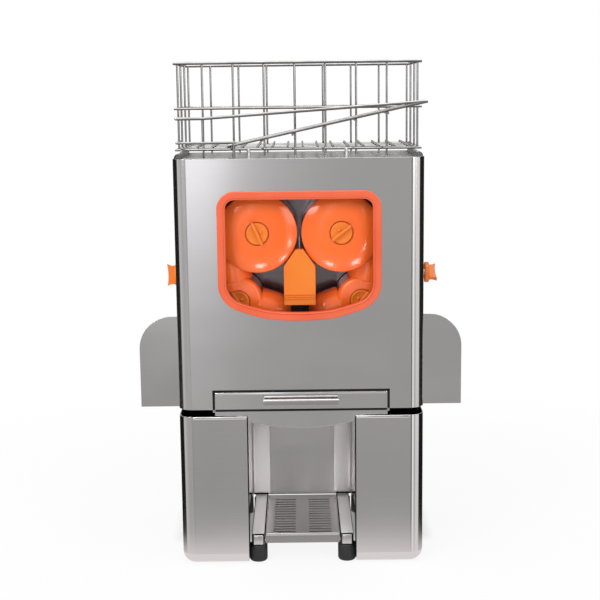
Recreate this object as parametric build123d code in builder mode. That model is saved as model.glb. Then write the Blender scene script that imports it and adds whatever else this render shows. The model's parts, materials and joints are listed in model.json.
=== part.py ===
"""Automatic citrus juicer: a free-standing press with two cup drums above two plunger drums.

Millimetres, +Z up, the front of the machine looks along -Y and +X is on the viewer's right.
The origin lies on the floor, at the middle of the machine's width and depth.
"""

import os
from math import acos, atan2, cos, degrees, pi, radians, sin, sqrt, tan

from build123d import *

os.makedirs("parts", exist_ok=True)

# Sheet, fits and gaps
sheet = 1.5
plate = 2.0
cover_fit = 0.5
rest_gap = 0.3
seat_gap = 0.1
running_gap = 0.05

# Housing, from the front face of the cover to the back panel
cover_face = -148.0
chamber_depth = 128.5
housing_width = 409.0
housing_depth = 166.5
column_depth = 73.5

# Heights that stack up from the floor
foot_height = 30.0
rail_height = 20.0
bin_height = 257.0
bin_headroom = 6.5
cover_gap = 17.0
lower_axis_rise = 175.8
tray_headroom = 54.0
cover_lip = 4.5

# Base frame, feet and drip tray
foot_diameter = 31.0
foot_round = 3.0
front_foot_inset = 11.0
rear_foot_inset = 25.0
rail_width = 21.0
rail_spacing = 153.0
rail_setback = 14.0
rail_tail_gap = 4.5
cross_bar_width = 20.0
cross_bar_height = 3.0
cross_bar_inset = 45.0
cross_bar_spacing = 110.0
drip_side_gap = 2.0
drip_tail_gap = 8.0
drip_tray_length = 203.0
drip_tray_height = 18.0
grate_drop = 4.0
grate_ledge = 3.0
grate_slot_length = 40.0
grate_slot_width = 5.0
grate_slot_pitch = 13.0
grate_margin = 15.0

# Peel bins
bay_half = 92.0
bin_foot_round = 20.0

# Cover and window
cover_corner = 24.0
cover_tail_gap = 4.0
window_half = 135.0
window_head = 72.0
window_sill = 24.8
window_arc = 440.0
window_corner = 29.0
window_sill_corner = 46.0
frame_width = 14.0
frame_proud = 4.0
frame_lap = 9.0
frame_back_lap = 4.0
frame_back_depth = 4.0
frame_ridge_start = 10.2
frame_ridge_gap = 1.1
frame_ridge_depth = 1.0
frame_round = 2.4
pane_thickness = 2.0
pane_grip = 3.0

# Cover fixing knobs and their brackets
fixing_setback = 82.0
fixing_rise = 218.0
fixing_slot_gap = 1.5
bracket_thickness = 4.0
bracket_height = 40.0
bracket_tip = 14.0
bracket_foot = 18.0
side_flange_diameter = 35.0
side_flange = 7.0
side_grip_height = 13.0
side_grip_width = 7.0
side_grip_root = 16.0
side_grip_tip = 19.0
side_grip_waist = 1.5
side_grip_dip = 2.0
side_knob_turns = {"left": 0.0, "right": 55.0}
side_knob_standoff = {"left": 0.0, "right": 7.0}

# Drum train: four equal drive gears, and two cross gears that couple the upper drums
drive_module = 3.0
drive_teeth = 41
cross_module = 4.0
cross_teeth = 35
pinion_teeth = 14
pinion_tooth_step = 6
pressure_angle = 20.0
tooth_addendum = 0.8
tooth_dedendum = 1.1
tooth_backlash = 0.35
flank_steps = 4
gear_width = 14.0
gear_layer_gap = 6.0
gear_setback = 20.0
gear_hub = 46.0
lower_spacing = 208.0

# Drums, shafts and lock knobs
drum_gap = 7.0
drum_setback = 22.0
drum_length = 101.5
drum_flat = 30.0
drum_crown = 8.0
drum_edge = 2.0
cup_radius = 43.0
press_setback = 77.0
cup_turn = 225.8
plunger_gap = 4.0
plunger_radius = 31.5
plunger_base = 33.0
plunger_round = 2.5
plunger_turn = -18.0
hub_radius = 42.0
hub_setback = 47.0
hub_length = 73.0
hub_edge = 9.0
shaft_diameter = 20.0
shaft_flats = 17.0
stud_diameter = 10.0
stud_wall = 15.0
stud_grip = 6.0
knob_diameter = 37.0
knob_flange = 8.0
knob_recess = 5.0
knob_recess_gap = 1.6
knob_bar_length = 40.0
knob_bar_width = 7.0
knob_bar_height = 10.0
knob_bar_taper = 3.0
knob_boss_diameter = 6.0
knob_boss_height = 2.6
knob_boss_offset = 7.5
knob_round = 1.5
knob_turns = {"upper_left": -66.0, "upper_right": 38.0, "lower_left": -55.0, "lower_right": 50.0}

# Bushes, gear plate, motor
bush_diameter = 32.0
bush_flange = 44.0
bush_flange_thickness = 6.0
bush_reach = 4.0
gear_plate_half = 178.0
gear_plate_thickness = 6.0
gear_plate_gap = 16.0
gear_plate_margin = 82.0
pillar_diameter = 16.0
pillar_inset = 13.0
pinion_shaft = 18.0
pinion_shaft_grip = 20.0
pinion_hole_gap = 1.0
gearbox_side = 110.0
gearbox_depth = 34.0
gearbox_round = 8.0
motor_diameter = 90.0
motor_length = 40.0
motor_cap = 10.0
motor_cap_step = 3.0

# Peel wedge and knife
wedge_half = 26.5
wedge_tip_half = 6.3
wedge_top_drop = 27.0
wedge_shoulder_drop = 56.0
wedge_foot_drop = 121.0
wedge_plate = 12.0
wedge_beam_half = 18.0
wedge_rib_count = 3
wedge_rib_rise = 10.0
wedge_rib_height = 1.8
wedge_rib_pitch = 3.6
wedge_rib_proud = 1.5
knife_thickness = 1.2
knife_rise = 23.0
knife_bevel = 6.0
knife_end_gap = 4.0

# Side wings
wing_reach = 80.5
wing_lap = 54.5
wing_bottom_drop = 9.0
wing_height = 163.0
wing_corner = 58.0
wing_bin_gap = 1.0

# Collecting tank, strainer drawer and their runners
tank_half = 145.0
tank_sag = 30.5
tank_rise = -2.0
trough_inset = 5.0
trough_tail_gap = 4.0
tank_flange_gap = 1.0
panel_bin_gap = 1.5
panel_bay_gap = 2.0
spout_diameter = 22.0
spout_setback = 62.0
spout_drop = 16.0
drawer_gap = 2.0
drawer_height = 30.0
drawer_side_gap = 4.5
drawer_tail_gap = 8.0
front_panel_setback = 0.5
notch_gap = 2.5
hole_diameter = 6.0
hole_pitch = 14.0
hole_margin = 14.0
runner_web = 2.0
runner_gap = 1.5
runner_rise = 34.0
runner_ledge = 9.0
runner_lip = 5.5
handle_half = 63.0
handle_reach = 12.5
handle_height = 10.5
handle_flange = 7.0
handle_drop = 10.4
handle_fold = 4.0

# Top tray and feed chute
tray_front_gap = 1.0
rim_height = 12.0
rim_width = 12.0
rim_round = 10.0
inlet_left_gap = 4.5
inlet_width = 88.0
inlet_front_gap = 2.5
inlet_length = 78.0
inlet_corner = 12.0
basket_stud = 6.0
basket_stud_height = 15.0
basket_stud_left = -84.0
basket_stud_right = 81.0
chute_drop = 16.5
chute_fall = 40.0
chute_front_gap = 6.0
chute_left_gap = 6.0

# Wire basket and its ramp
wire = 3.5
cross_wire = 4.0
rim_wire = 5.0
weld = 0.25
basket_overhang = 1.0
basket_setback = 84.0
basket_length = 213.0
basket_rim_rise = 158.0
basket_mid_rise = 83.0
bar_pitch = 51.6
side_bar_count = 2
floor_wires_per_bay = 2
floor_cross_count = 3
ramp_lead = 79.0
ramp_low_gap = 7.0
ramp_low_rise = 25.0
ramp_overhang = 4.5
ramp_high_rise = 92.0
guard_rise = 68.0
guard_knee_gap = 43.0
cage_rise = 29.0
ramp_rod_pitch = 28.0
ramp_rod_drop = 0.5

# Rear panel, switch and cable gland
louvre_count = 9
louvre_length = 120.0
louvre_width = 5.0
louvre_pitch = 16.0
louvre_rise = 330.0
louvre_spacing = 170.0
gland_x = 120.0
gland_rise = 70.0
gland_thread = 20.0
gland_hex = 27.0
gland_hex_length = 5.0
gland_dome = 22.0
gland_dome_length = 3.0
gland_bore = 8.0
gland_inside = 6.0
switch_rear_gap = 75.0
switch_top_gap = 90.0
switch_width = 22.0
switch_height = 32.0
switch_bezel = 2.0
switch_bezel_edge = 2.0
switch_depth = 22.0
rocker_width = 13.0
rocker_height = 22.0
rocker_thickness = 6.0
rocker_rise = 2.5
rocker_gap = 1.5
rocker_pin = 3.0
rocker_pin_grip = 1.5

# Places that follow from the driving dimensions
housing_half = housing_width / 2
cover_half = housing_half + cover_fit + sheet
plate_front = cover_face + sheet + chamber_depth
plate_rear = plate_front + plate
housing_rear = plate_rear + housing_depth
panel_rear = housing_rear + sheet
column_front = housing_rear - column_depth
base_z = foot_height + rail_height
chamber_floor = bin_height + bin_headroom
overhang_top = chamber_floor + sheet
cover_bottom = bin_height + cover_gap
upper_x = cross_module * cross_teeth / 2
lower_x = lower_spacing / 2
drum_radius = upper_x - drum_gap / 2
press_centres = drive_module * drive_teeth
lower_z = cover_bottom + lower_axis_rise
upper_z = lower_z + sqrt(press_centres**2 - (lower_x - upper_x) ** 2)
housing_top = upper_z + drum_radius + tray_headroom
tray_top = housing_top + sheet
cover_top = housing_top + cover_lip
press_y = cover_face + press_setback
drum_front = cover_face + drum_setback
drum_rear = drum_front + drum_length
hub_front = cover_face + hub_setback
hub_rear = hub_front + hub_length
cup_offset = upper_x
plunger_tip = press_centres - cup_offset + cup_radius - plunger_gap
plunger_shoulder = plunger_tip - plunger_radius
SIDES = ((-1, "left"), (1, "right"))


def front_plane(y):
    """A drawing plane at depth y with X to the right and Z up; extruding it goes forward."""
    return Plane.XZ.offset(-y)


def slab(x0, x1, y0, y1, z0, z1, mode=Mode.ADD):
    """A box between two corners, put into the part being built."""
    with Locations(((x0 + x1) / 2, (y0 + y1) / 2, (z0 + z1) / 2)):
        Box(abs(x1 - x0), abs(y1 - y0), abs(z1 - z0), mode=mode)


def rod(start, end, diameter, mode=Mode.ADD):
    """A straight round bar between two points, put into the part being built."""
    run = Vector(*end) - Vector(*start)
    with Locations(Plane(origin=start, z_dir=run)):
        Cylinder(diameter / 2, run.length, align=(Align.CENTER, Align.CENTER, Align.MIN), mode=mode)


def save(piece, name):
    """Labels a finished piece and writes it under its own name."""
    piece.part.label = name
    export_step(piece.part, f"parts/{name}.step")


# Base frame: two closed rails on rubber feet, joined by two cross bars
rail_x = rail_spacing / 2
rail_inner = rail_x - rail_width / 2
rail_front = cover_face + rail_setback
rail_tail = housing_rear - rail_tail_gap
cross_bar_ys = [rail_front + cross_bar_inset, rail_front + cross_bar_inset + cross_bar_spacing]
with BuildPart() as base_frame:
    for side, _ in SIDES:
        near = side * rail_inner
        far = side * (rail_inner + rail_width)
        slab(near, far, rail_front, rail_tail, foot_height, base_z)
        slab(
            near + side * sheet,
            far - side * sheet,
            rail_front + sheet,
            rail_tail,
            foot_height + sheet,
            base_z - sheet,
            mode=Mode.SUBTRACT,
        )
    for y in cross_bar_ys:
        slab(
            -rail_inner - sheet / 2,
            rail_inner + sheet / 2,
            y - cross_bar_width / 2,
            y + cross_bar_width / 2,
            foot_height,
            foot_height + cross_bar_height,
        )
save(base_frame, "base_frame")

with BuildPart() as rubber_feet:
    foot_ys = (rail_front + front_foot_inset, rail_tail - rear_foot_inset)
    with Locations(*[(side * rail_x, y, 0) for side, _ in SIDES for y in foot_ys]):
        Cylinder(foot_diameter / 2, foot_height, align=(Align.CENTER, Align.CENTER, Align.MIN))
    fillet(rubber_feet.edges().filter_by(GeomType.CIRCLE).group_by(Axis.Z)[0], foot_round)
save(rubber_feet, "rubber_feet")

# Drip tray between the rails, standing on the cross bars, with a slotted grate on its ledge
drip_half = rail_inner - drip_side_gap
drip_bottom = foot_height + cross_bar_height + rest_gap
drip_top = drip_bottom + drip_tray_height
drip_rear = column_front - drip_tail_gap
drip_front = drip_rear - drip_tray_length
grate_top = drip_top - grate_drop
with BuildPart() as drip_tray:
    slab(-drip_half, drip_half, drip_front, drip_rear, drip_bottom, drip_top)
    slab(
        -drip_half + sheet,
        drip_half - sheet,
        drip_front + sheet,
        drip_rear - sheet,
        grate_top - sheet,
        drip_top,
        mode=Mode.SUBTRACT,
    )
    slab(
        -drip_half + sheet + grate_ledge,
        drip_half - sheet - grate_ledge,
        drip_front + sheet + grate_ledge,
        drip_rear - sheet - grate_ledge,
        drip_bottom + sheet,
        drip_top,
        mode=Mode.SUBTRACT,
    )
save(drip_tray, "drip_tray")

with BuildPart() as drip_grate:
    grate_half = drip_half - sheet - seat_gap
    grate_front = drip_front + sheet + seat_gap
    grate_rear = drip_rear - sheet - seat_gap
    slab(-grate_half, grate_half, grate_front, grate_rear, grate_top - sheet, grate_top)
    slot_rows = int((grate_rear - grate_front - 2 * grate_margin) // grate_slot_pitch) + 1
    with BuildSketch(Plane.XY.offset(grate_top)):
        with Locations((0, (grate_front + grate_rear) / 2)):
            with GridLocations(grate_half, grate_slot_pitch, 2, slot_rows):
                SlotOverall(grate_slot_length, grate_slot_width)
    extrude(amount=-sheet, mode=Mode.SUBTRACT)
save(drip_grate, "drip_grate")

# Housing panels behind the press chamber and above the rear column
switch_y = housing_rear - switch_rear_gap
switch_z = housing_top - switch_top_gap
for side, word in SIDES:
    with BuildPart() as side_panel:
        with BuildSketch(Plane.YZ.offset(side * housing_half)):
            with BuildLine():
                Polyline(
                    (plate_rear, chamber_floor),
                    (plate_rear, housing_top),
                    (housing_rear, housing_top),
                    (housing_rear, base_z),
                    (column_front, base_z),
                    (column_front, chamber_floor),
                    close=True,
                )
            make_face()
            if side > 0:
                with Locations((switch_y, switch_z)):
                    Rectangle(switch_width, switch_height, mode=Mode.SUBTRACT)
        extrude(amount=-side * sheet)
    save(side_panel, f"side_panel_{word}")

inner_half = housing_half - sheet
gland_z = base_z + gland_rise
with BuildPart() as back_panel:
    slab(-housing_half, housing_half, housing_rear, panel_rear, base_z, housing_top)
    with BuildSketch(front_plane(panel_rear)):
        with Locations((0, base_z + louvre_rise)):
            with GridLocations(louvre_spacing, louvre_pitch, 2, louvre_count):
                SlotOverall(louvre_length, louvre_width)
        with Locations((gland_x, gland_z)):
            Circle(gland_thread / 2 + seat_gap)
    extrude(amount=sheet, mode=Mode.SUBTRACT)
save(back_panel, "back_panel")

with BuildPart() as base_plate:
    slab(-inner_half, inner_half, column_front, housing_rear, base_z, base_z + sheet)
save(base_plate, "base_plate")

with BuildPart() as bay_back_panel:
    slab(-inner_half, inner_half, column_front, column_front + sheet, base_z + sheet, chamber_floor)
save(bay_back_panel, "bay_back_panel")

with BuildPart() as overhang_panel:
    slab(-inner_half, inner_half, plate_rear, column_front + sheet, chamber_floor, overhang_top)
save(overhang_panel, "overhang_panel")

# Drum axes seen from the front, as (x, z)
axes = {
    "upper_left": (-upper_x, upper_z),
    "upper_right": (upper_x, upper_z),
    "lower_left": (-lower_x, lower_z),
    "lower_right": (lower_x, lower_z),
}

with BuildPart() as chamber_back_plate:
    slab(-housing_half, housing_half, plate_front, plate_rear, chamber_floor, housing_top)
    with BuildSketch(front_plane(plate_rear)):
        with Locations(*axes.values()):
            Circle(bush_diameter / 2 + seat_gap)
    extrude(amount=plate, mode=Mode.SUBTRACT)
save(chamber_back_plate, "chamber_back_plate")

# Flanged bushes: the front ones in the chamber back plate, the rear ones in the gear plate
gear_front = plate_rear + gear_setback
cross_front = gear_front + gear_width + gear_layer_gap
cross_rear = cross_front + gear_width
gear_plate_front = cross_rear + gear_plate_gap
gear_plate_rear = gear_plate_front + gear_plate_thickness
with BuildPart() as shaft_bushes:
    for front, reach, flange in (
        (plate_rear, -plate - bush_reach, bush_flange_thickness),
        (gear_plate_front, gear_plate_thickness, -bush_flange_thickness),
    ):
        with BuildSketch(front_plane(front)):
            with Locations(*axes.values()):
                Circle(bush_diameter / 2)
        extrude(amount=-reach)
        with BuildSketch(front_plane(front)):
            with Locations(*axes.values()):
                Circle(bush_flange / 2)
        extrude(amount=-flange)
    with BuildSketch(front_plane(gear_plate_rear)):
        with Locations(*axes.values()):
            Circle(shaft_diameter / 2 + running_gap)
    extrude(amount=gear_plate_rear - plate_front + bush_reach, mode=Mode.SUBTRACT)
save(shaft_bushes, "shaft_bushes")

# Gear plate on four pillars behind the chamber back plate
pinion_angle = radians(180 + 180 / cross_teeth + pinion_tooth_step * 360 / cross_teeth)
pinion_reach = cross_module * (cross_teeth + pinion_teeth) / 2
pinion_x = upper_x + pinion_reach * cos(pinion_angle)
pinion_z = upper_z + pinion_reach * sin(pinion_angle)
gear_plate_low = lower_z - gear_plate_margin
gear_plate_high = upper_z + gear_plate_margin
pillar_points = [
    (side * (gear_plate_half - pillar_inset), z)
    for side, _ in SIDES
    for z in (gear_plate_low + pillar_inset, gear_plate_high - pillar_inset)
]
with BuildPart() as gear_plate:
    slab(
        -gear_plate_half,
        gear_plate_half,
        gear_plate_front,
        gear_plate_rear,
        gear_plate_low,
        gear_plate_high,
    )
    with BuildSketch(front_plane(gear_plate_rear)):
        with Locations(*axes.values()):
            Circle(bush_diameter / 2 + seat_gap)
        with Locations((pinion_x, pinion_z)):
            Circle(pinion_shaft / 2 + pinion_hole_gap)
    extrude(amount=gear_plate_thickness, mode=Mode.SUBTRACT)
save(gear_plate, "gear_plate")

with BuildPart() as gear_plate_pillars:
    with BuildSketch(front_plane(gear_plate_front)):
        with Locations(*pillar_points):
            Circle(pillar_diameter / 2)
    extrude(amount=gear_plate_front - plate_rear)
save(gear_plate_pillars, "gear_plate_pillars")

# Drive motor: a square gearbox with the motor behind it
gearbox_rear = gear_plate_rear + gearbox_depth
motor_rear = gearbox_rear + motor_length
with BuildPart() as drive_motor:
    with BuildSketch(front_plane(gearbox_rear)):
        with Locations((pinion_x, pinion_z)):
            RectangleRounded(gearbox_side, gearbox_side, gearbox_round)
    extrude(amount=gearbox_depth)
    with BuildSketch(front_plane(motor_rear)):
        with Locations((pinion_x, pinion_z)):
            Circle(motor_diameter / 2)
    extrude(amount=motor_length)
    with BuildSketch(front_plane(motor_rear + motor_cap)):
        with Locations((pinion_x, pinion_z)):
            Circle(motor_diameter / 2 + motor_cap_step)
    extrude(amount=2 * motor_cap)
    with BuildSketch(front_plane(gear_plate_rear + pinion_shaft_grip)):
        with Locations((pinion_x, pinion_z)):
            Circle(pinion_shaft / 2 + running_gap)
    extrude(amount=pinion_shaft_grip, mode=Mode.SUBTRACT)
save(drive_motor, "drive_motor")


def involute(angle):
    """How far a tooth flank has turned away from its base circle."""
    return tan(angle) - angle


def gear_points(centre, teeth, module, first_tooth):
    """The corners of a spur gear's outline, with one tooth centred on the first_tooth angle."""
    pitch_radius = teeth * module / 2
    root = pitch_radius - tooth_dedendum * module
    tip = pitch_radius + tooth_addendum * module
    base = pitch_radius * cos(radians(pressure_angle))
    start = max(base, root)
    half_tooth = (pi * module / 2 - tooth_backlash) / (2 * pitch_radius)
    flank = [(root, half_tooth + involute(radians(pressure_angle)) - involute(acos(base / start)))]
    if start > root:
        flank.append((start, flank[0][1]))
    for step in range(1, flank_steps + 1):
        radius = start + (tip - start) * step / flank_steps
        turn = half_tooth + involute(radians(pressure_angle)) - involute(acos(base / radius))
        flank.append((radius, turn))
    points = []
    for tooth in range(teeth):
        middle = radians(first_tooth) + 2 * pi * tooth / teeth
        rising = [(radius, middle - turn) for radius, turn in flank]
        falling = [(radius, middle + turn) for radius, turn in reversed(flank)]
        for radius, angle in rising + falling:
            points.append((centre[0] + radius * cos(angle), centre[1] + radius * sin(angle)))
    return points


# Drive gears: each upper drum meshes with the lower drum on its side, and the upper pair with each other
mesh_turn = degrees(atan2(lower_z - upper_z, lower_x - upper_x))
drive_phases = {
    "upper_left": 180 - mesh_turn,
    "upper_right": mesh_turn,
    "lower_left": -mesh_turn + 180 / drive_teeth,
    "lower_right": 180 + mesh_turn + 180 / drive_teeth,
}
cross_phases = {"upper_left": 0.0, "upper_right": 180 + 180 / cross_teeth}
for drum, centre in axes.items():
    with BuildPart() as drum_gear:
        with BuildSketch(front_plane(gear_front + gear_width)):
            with BuildLine():
                Polyline(*gear_points(centre, drive_teeth, drive_module, drive_phases[drum]), close=True)
            make_face()
        extrude(amount=gear_width)
        with BuildSketch(front_plane(cross_front)):
            with Locations(centre):
                Circle(gear_hub / 2)
        extrude(amount=gear_layer_gap)
        if drum in cross_phases:
            with BuildSketch(front_plane(cross_rear)):
                with BuildLine():
                    Polyline(*gear_points(centre, cross_teeth, cross_module, cross_phases[drum]), close=True)
                make_face()
            extrude(amount=gear_width)
        with BuildSketch(front_plane(cross_rear)):
            with Locations(centre):
                Circle(shaft_diameter / 2 + seat_gap)
        extrude(amount=cross_rear - gear_front, mode=Mode.SUBTRACT)
    save(drum_gear, f"{drum}_gear")

with BuildPart() as motor_pinion:
    pinion_phase = degrees(pinion_angle) + 180 + 180 / pinion_teeth
    with BuildSketch(front_plane(cross_rear)):
        with BuildLine():
            Polyline(*gear_points((pinion_x, pinion_z), pinion_teeth, cross_module, pinion_phase), close=True)
        make_face()
    extrude(amount=gear_width)
    with BuildSketch(front_plane(gear_plate_rear + pinion_shaft_grip - rest_gap)):
        with Locations((pinion_x, pinion_z)):
            Circle(pinion_shaft / 2)
    extrude(amount=gear_plate_rear + pinion_shaft_grip - rest_gap - cross_rear)
save(motor_pinion, "motor_pinion")

# Drum shafts: a round journal, a hexagon that drives the drum and a threaded stud for its lock knob
fronts = {
    "upper_left": (drum_front, drum_rear),
    "upper_right": (drum_front, drum_rear),
    "lower_left": (hub_front, hub_rear),
    "lower_right": (hub_front, hub_rear),
}
for drum, centre in axes.items():
    front, rear = fronts[drum]
    hexagon_end = front + knob_recess + stud_wall
    stud_tip = front + knob_recess - stud_grip
    with BuildPart() as drum_shaft:
        with BuildSketch(front_plane(gear_plate_rear)):
            with Locations(centre):
                Circle(shaft_diameter / 2)
        extrude(amount=gear_plate_rear - rear)
        with BuildSketch(front_plane(rear)):
            with Locations(centre):
                RegularPolygon(shaft_flats / 2, 6, major_radius=False)
        extrude(amount=rear - hexagon_end)
        with BuildSketch(front_plane(hexagon_end)):
            with Locations(centre):
                Circle(stud_diameter / 2)
        extrude(amount=hexagon_end - stud_tip)
    save(drum_shaft, f"{drum}_shaft")


def keyed_bore(centre, front, rear):
    """Cuts a drum's hexagon bore, stud hole and knob recess out of the part being built."""
    hexagon_end = front + knob_recess + stud_wall
    with BuildSketch(front_plane(rear)) as hexagon:
        with Locations(centre):
            RegularPolygon(shaft_flats / 2 + seat_gap, 6, major_radius=False)
    extrude(hexagon.sketch, amount=rear - hexagon_end, mode=Mode.SUBTRACT)
    with BuildSketch(front_plane(hexagon_end)) as stud_hole:
        with Locations(centre):
            Circle(stud_diameter / 2 + seat_gap)
    extrude(stud_hole.sketch, amount=stud_wall, mode=Mode.SUBTRACT)
    with BuildSketch(front_plane(front + knob_recess)) as recess:
        with Locations(centre):
            Circle(knob_diameter / 2 + knob_recess_gap)
    extrude(recess.sketch, amount=knob_recess, mode=Mode.SUBTRACT)


def spokes(side, turn):
    """Three directions about a drum's axis, a third of a turn apart, mirrored on the right-hand drum."""
    angles = [radians(turn + 120 * i) for i in range(3)]
    return [(-side * cos(a), sin(a)) for a in angles]


# Cup drums: a crowned face and three round cups each, turned as they stand at rest
for side, word in SIDES:
    x, z = axes[f"upper_{word}"]
    with BuildPart() as cup_drum:
        with BuildSketch(Plane(origin=(x, 0, z), x_dir=(1, 0, 0), z_dir=(0, 0, 1))) as profile:
            with BuildLine():
                face = Line((0, drum_front), (drum_flat, drum_front))
                crown = TangentArc(face @ 1, (drum_radius, drum_front + drum_crown), tangent=face % 1)
                Polyline(crown @ 1, (drum_radius, drum_rear), (0, drum_rear), face @ 0)
            make_face()
            fillet(profile.vertices().group_by(Axis.X)[-1].sort_by(Axis.Y)[0], drum_edge)
        revolve(axis=Axis((x, 0, z), (0, 1, 0)))
        with Locations(*[(x + cup_offset * u, press_y, z + cup_offset * w) for u, w in spokes(side, cup_turn)]):
            Sphere(cup_radius, mode=Mode.SUBTRACT)
        keyed_bore((x, z), drum_front, drum_rear)
    save(cup_drum, f"upper_{word}_cup_drum")

# Plunger drums: a round-edged hub, and three round-ended plungers that stand on it and enter the cups
for side, word in SIDES:
    x, z = axes[f"lower_{word}"]
    with BuildPart() as plunger_drum:
        with BuildSketch(Plane(origin=(x, 0, z), x_dir=(1, 0, 0), z_dir=(0, 0, 1))) as hub:
            with Locations((hub_radius / 2, (hub_front + hub_rear) / 2)):
                Rectangle(hub_radius, hub_length)
            fillet(hub.vertices().group_by(Axis.X)[-1].sort_by(Axis.Y)[0], hub_edge)
        revolve(axis=Axis((x, 0, z), (0, 1, 0)))
        for u, w in spokes(side, plunger_turn):
            with BuildSketch(Plane(origin=(x, press_y, z), x_dir=(0, 1, 0), z_dir=(w, 0, -u))) as profile:
                with BuildLine():
                    wall = Polyline(
                        (0, plunger_base), (plunger_radius, plunger_base), (plunger_radius, plunger_shoulder)
                    )
                    dome = CenterArc((0, plunger_shoulder), plunger_radius, 0, 90)
                    Line(dome @ 1, wall @ 0)
                make_face()
                fillet(profile.vertices().group_by(Axis.X)[-1].sort_by(Axis.Y)[0], plunger_round)
            revolve(axis=Axis((x, press_y, z), (u, 0, w)))
        keyed_bore((x, z), hub_front, hub_rear)
    save(plunger_drum, f"lower_{word}_plunger_drum")


def stud_bore(seat):
    """Cuts the threaded bore that a knob holds a stud with."""
    with BuildSketch(seat) as hole:
        Circle(stud_diameter / 2 + running_gap)
    extrude(hole.sketch, amount=stud_grip + seat_gap, mode=Mode.SUBTRACT)


def lock_knob(seat):
    """A round knob with a bar grip and a small boss, standing on the seat plane, its bar along the plane's X."""
    with BuildPart(seat) as knob:
        Cylinder(knob_diameter / 2, knob_flange, align=(Align.CENTER, Align.CENTER, Align.MIN))
        fillet(knob.edges().filter_by(GeomType.CIRCLE), knob_round)
        with BuildSketch(seat.offset(knob_flange)):
            SlotOverall(knob_bar_length, knob_bar_width)
        extrude(amount=knob_bar_height, taper=knob_bar_taper)
        with BuildSketch(seat.offset(knob_flange)):
            with Locations((0, knob_boss_offset)):
                Circle(knob_boss_diameter / 2)
        extrude(amount=knob_boss_height)
        stud_bore(seat)
    return knob


# Lock knobs on the drum studs, each with the bar turned as it stands at rest
for drum, centre in axes.items():
    front, _ = fronts[drum]
    turn = radians(knob_turns[drum])
    seat = Plane(
        origin=(centre[0], front + knob_recess - rest_gap, centre[1]),
        x_dir=(cos(turn), 0, sin(turn)),
        z_dir=(0, -1, 0),
    )
    save(lock_knob(seat), f"{drum}_lock_knob")

# Brackets on the chamber back plate carry the studs that the cover hooks over
fixing_y = cover_face + fixing_setback
fixing_z = cover_bottom + fixing_rise
bracket_outer = inner_half
knob_seat_x = cover_half + rest_gap
with BuildPart() as cover_brackets:
    for side, word in SIDES:
        near = side * (bracket_outer - bracket_thickness)
        far = side * bracket_outer
        low = fixing_z - bracket_height / 2
        high = fixing_z + bracket_height / 2
        slab(near, far, fixing_y - bracket_tip, plate_front, low, high)
        foot = side * (bracket_outer - bracket_foot)
        slab(foot, far, plate_front - bracket_thickness, plate_front, low, high)
        stud_end = side * (knob_seat_x + side_knob_standoff[word] + stud_grip)
        rod((near, fixing_y, fixing_z), (stud_end, fixing_y, fixing_z), stud_diameter)
save(cover_brackets, "cover_brackets")


def wing_knob(seat):
    """A round flange with a flared wing for the fingers, standing on the seat plane, its wing along the plane's X."""
    tip = side_flange + side_grip_height
    waist = ((side_grip_root + side_grip_tip) / 2 - side_grip_waist, side_flange + side_grip_height / 2)
    with BuildPart(seat) as knob:
        Cylinder(side_flange_diameter / 2, side_flange, align=(Align.CENTER, Align.CENTER, Align.MIN))
        fillet(knob.edges().filter_by(GeomType.CIRCLE), knob_round)
        with BuildSketch(Plane(origin=seat.origin, x_dir=seat.x_dir, z_dir=-seat.y_dir)):
            with BuildLine():
                edge = ThreePointArc((-side_grip_tip, tip), (0, tip - side_grip_dip), (side_grip_tip, tip))
                flare = ThreePointArc(edge @ 1, waist, (side_grip_root, side_flange))
                foot = Line(flare @ 1, (-side_grip_root, side_flange))
                ThreePointArc(foot @ 1, (-waist[0], waist[1]), edge @ 0)
            make_face()
        extrude(amount=side_grip_width / 2, both=True)
        stud_bore(seat)
    return knob


# Cover knobs on the studs, the right one turned and a little way out, as they stand at rest
for side, word in SIDES:
    turn = radians(side_knob_turns[word])
    seat = Plane(
        origin=(side * (knob_seat_x + side_knob_standoff[word]), fixing_y, fixing_z),
        x_dir=(0, sin(turn), cos(turn)),
        z_dir=(side, 0, 0),
    )
    save(wing_knob(seat), f"{word}_cover_knob")

# Peel wedge between the drums: a beam from the back plate and the front plate that shows in the window
wedge_top = upper_z - wedge_top_drop
wedge_shoulder = upper_z - wedge_shoulder_drop
wedge_foot = upper_z - wedge_foot_drop
wedge_back = drum_front + wedge_plate
with BuildPart() as peel_wedge:
    with BuildSketch(front_plane(plate_front)):
        with BuildLine():
            Polyline(
                (-wedge_tip_half, wedge_top),
                (wedge_tip_half, wedge_top),
                (wedge_beam_half, wedge_shoulder),
                (-wedge_beam_half, wedge_shoulder),
                close=True,
            )
        make_face()
    extrude(amount=plate_front - wedge_back)
    with BuildSketch(front_plane(wedge_back)):
        with BuildLine():
            Polyline(
                (-wedge_tip_half, wedge_top),
                (wedge_tip_half, wedge_top),
                (wedge_half, wedge_shoulder),
                (wedge_half, wedge_foot),
                (-wedge_half, wedge_foot),
                (-wedge_half, wedge_shoulder),
                close=True,
            )
        make_face()
    extrude(amount=wedge_plate)
    for i in range(wedge_rib_count):
        rib = wedge_foot + wedge_rib_rise + i * wedge_rib_pitch
        slab(-wedge_half, wedge_half, drum_front - wedge_rib_proud, drum_front, rib, rib + wedge_rib_height)
save(peel_wedge, "peel_wedge")

knife_rear = plate_front - knife_end_gap
knife_front = wedge_back
with BuildPart() as knife_blade:
    with BuildSketch(front_plane(knife_rear)):
        with BuildLine():
            Polyline(
                (-knife_thickness / 2, wedge_top),
                (knife_thickness / 2, wedge_top),
                (knife_thickness / 2, wedge_top + knife_rise - knife_bevel),
                (0, wedge_top + knife_rise),
                (-knife_thickness / 2, wedge_top + knife_rise - knife_bevel),
                close=True,
            )
        make_face()
    extrude(amount=knife_rear - knife_front)
save(knife_blade, "knife_blade")

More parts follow.
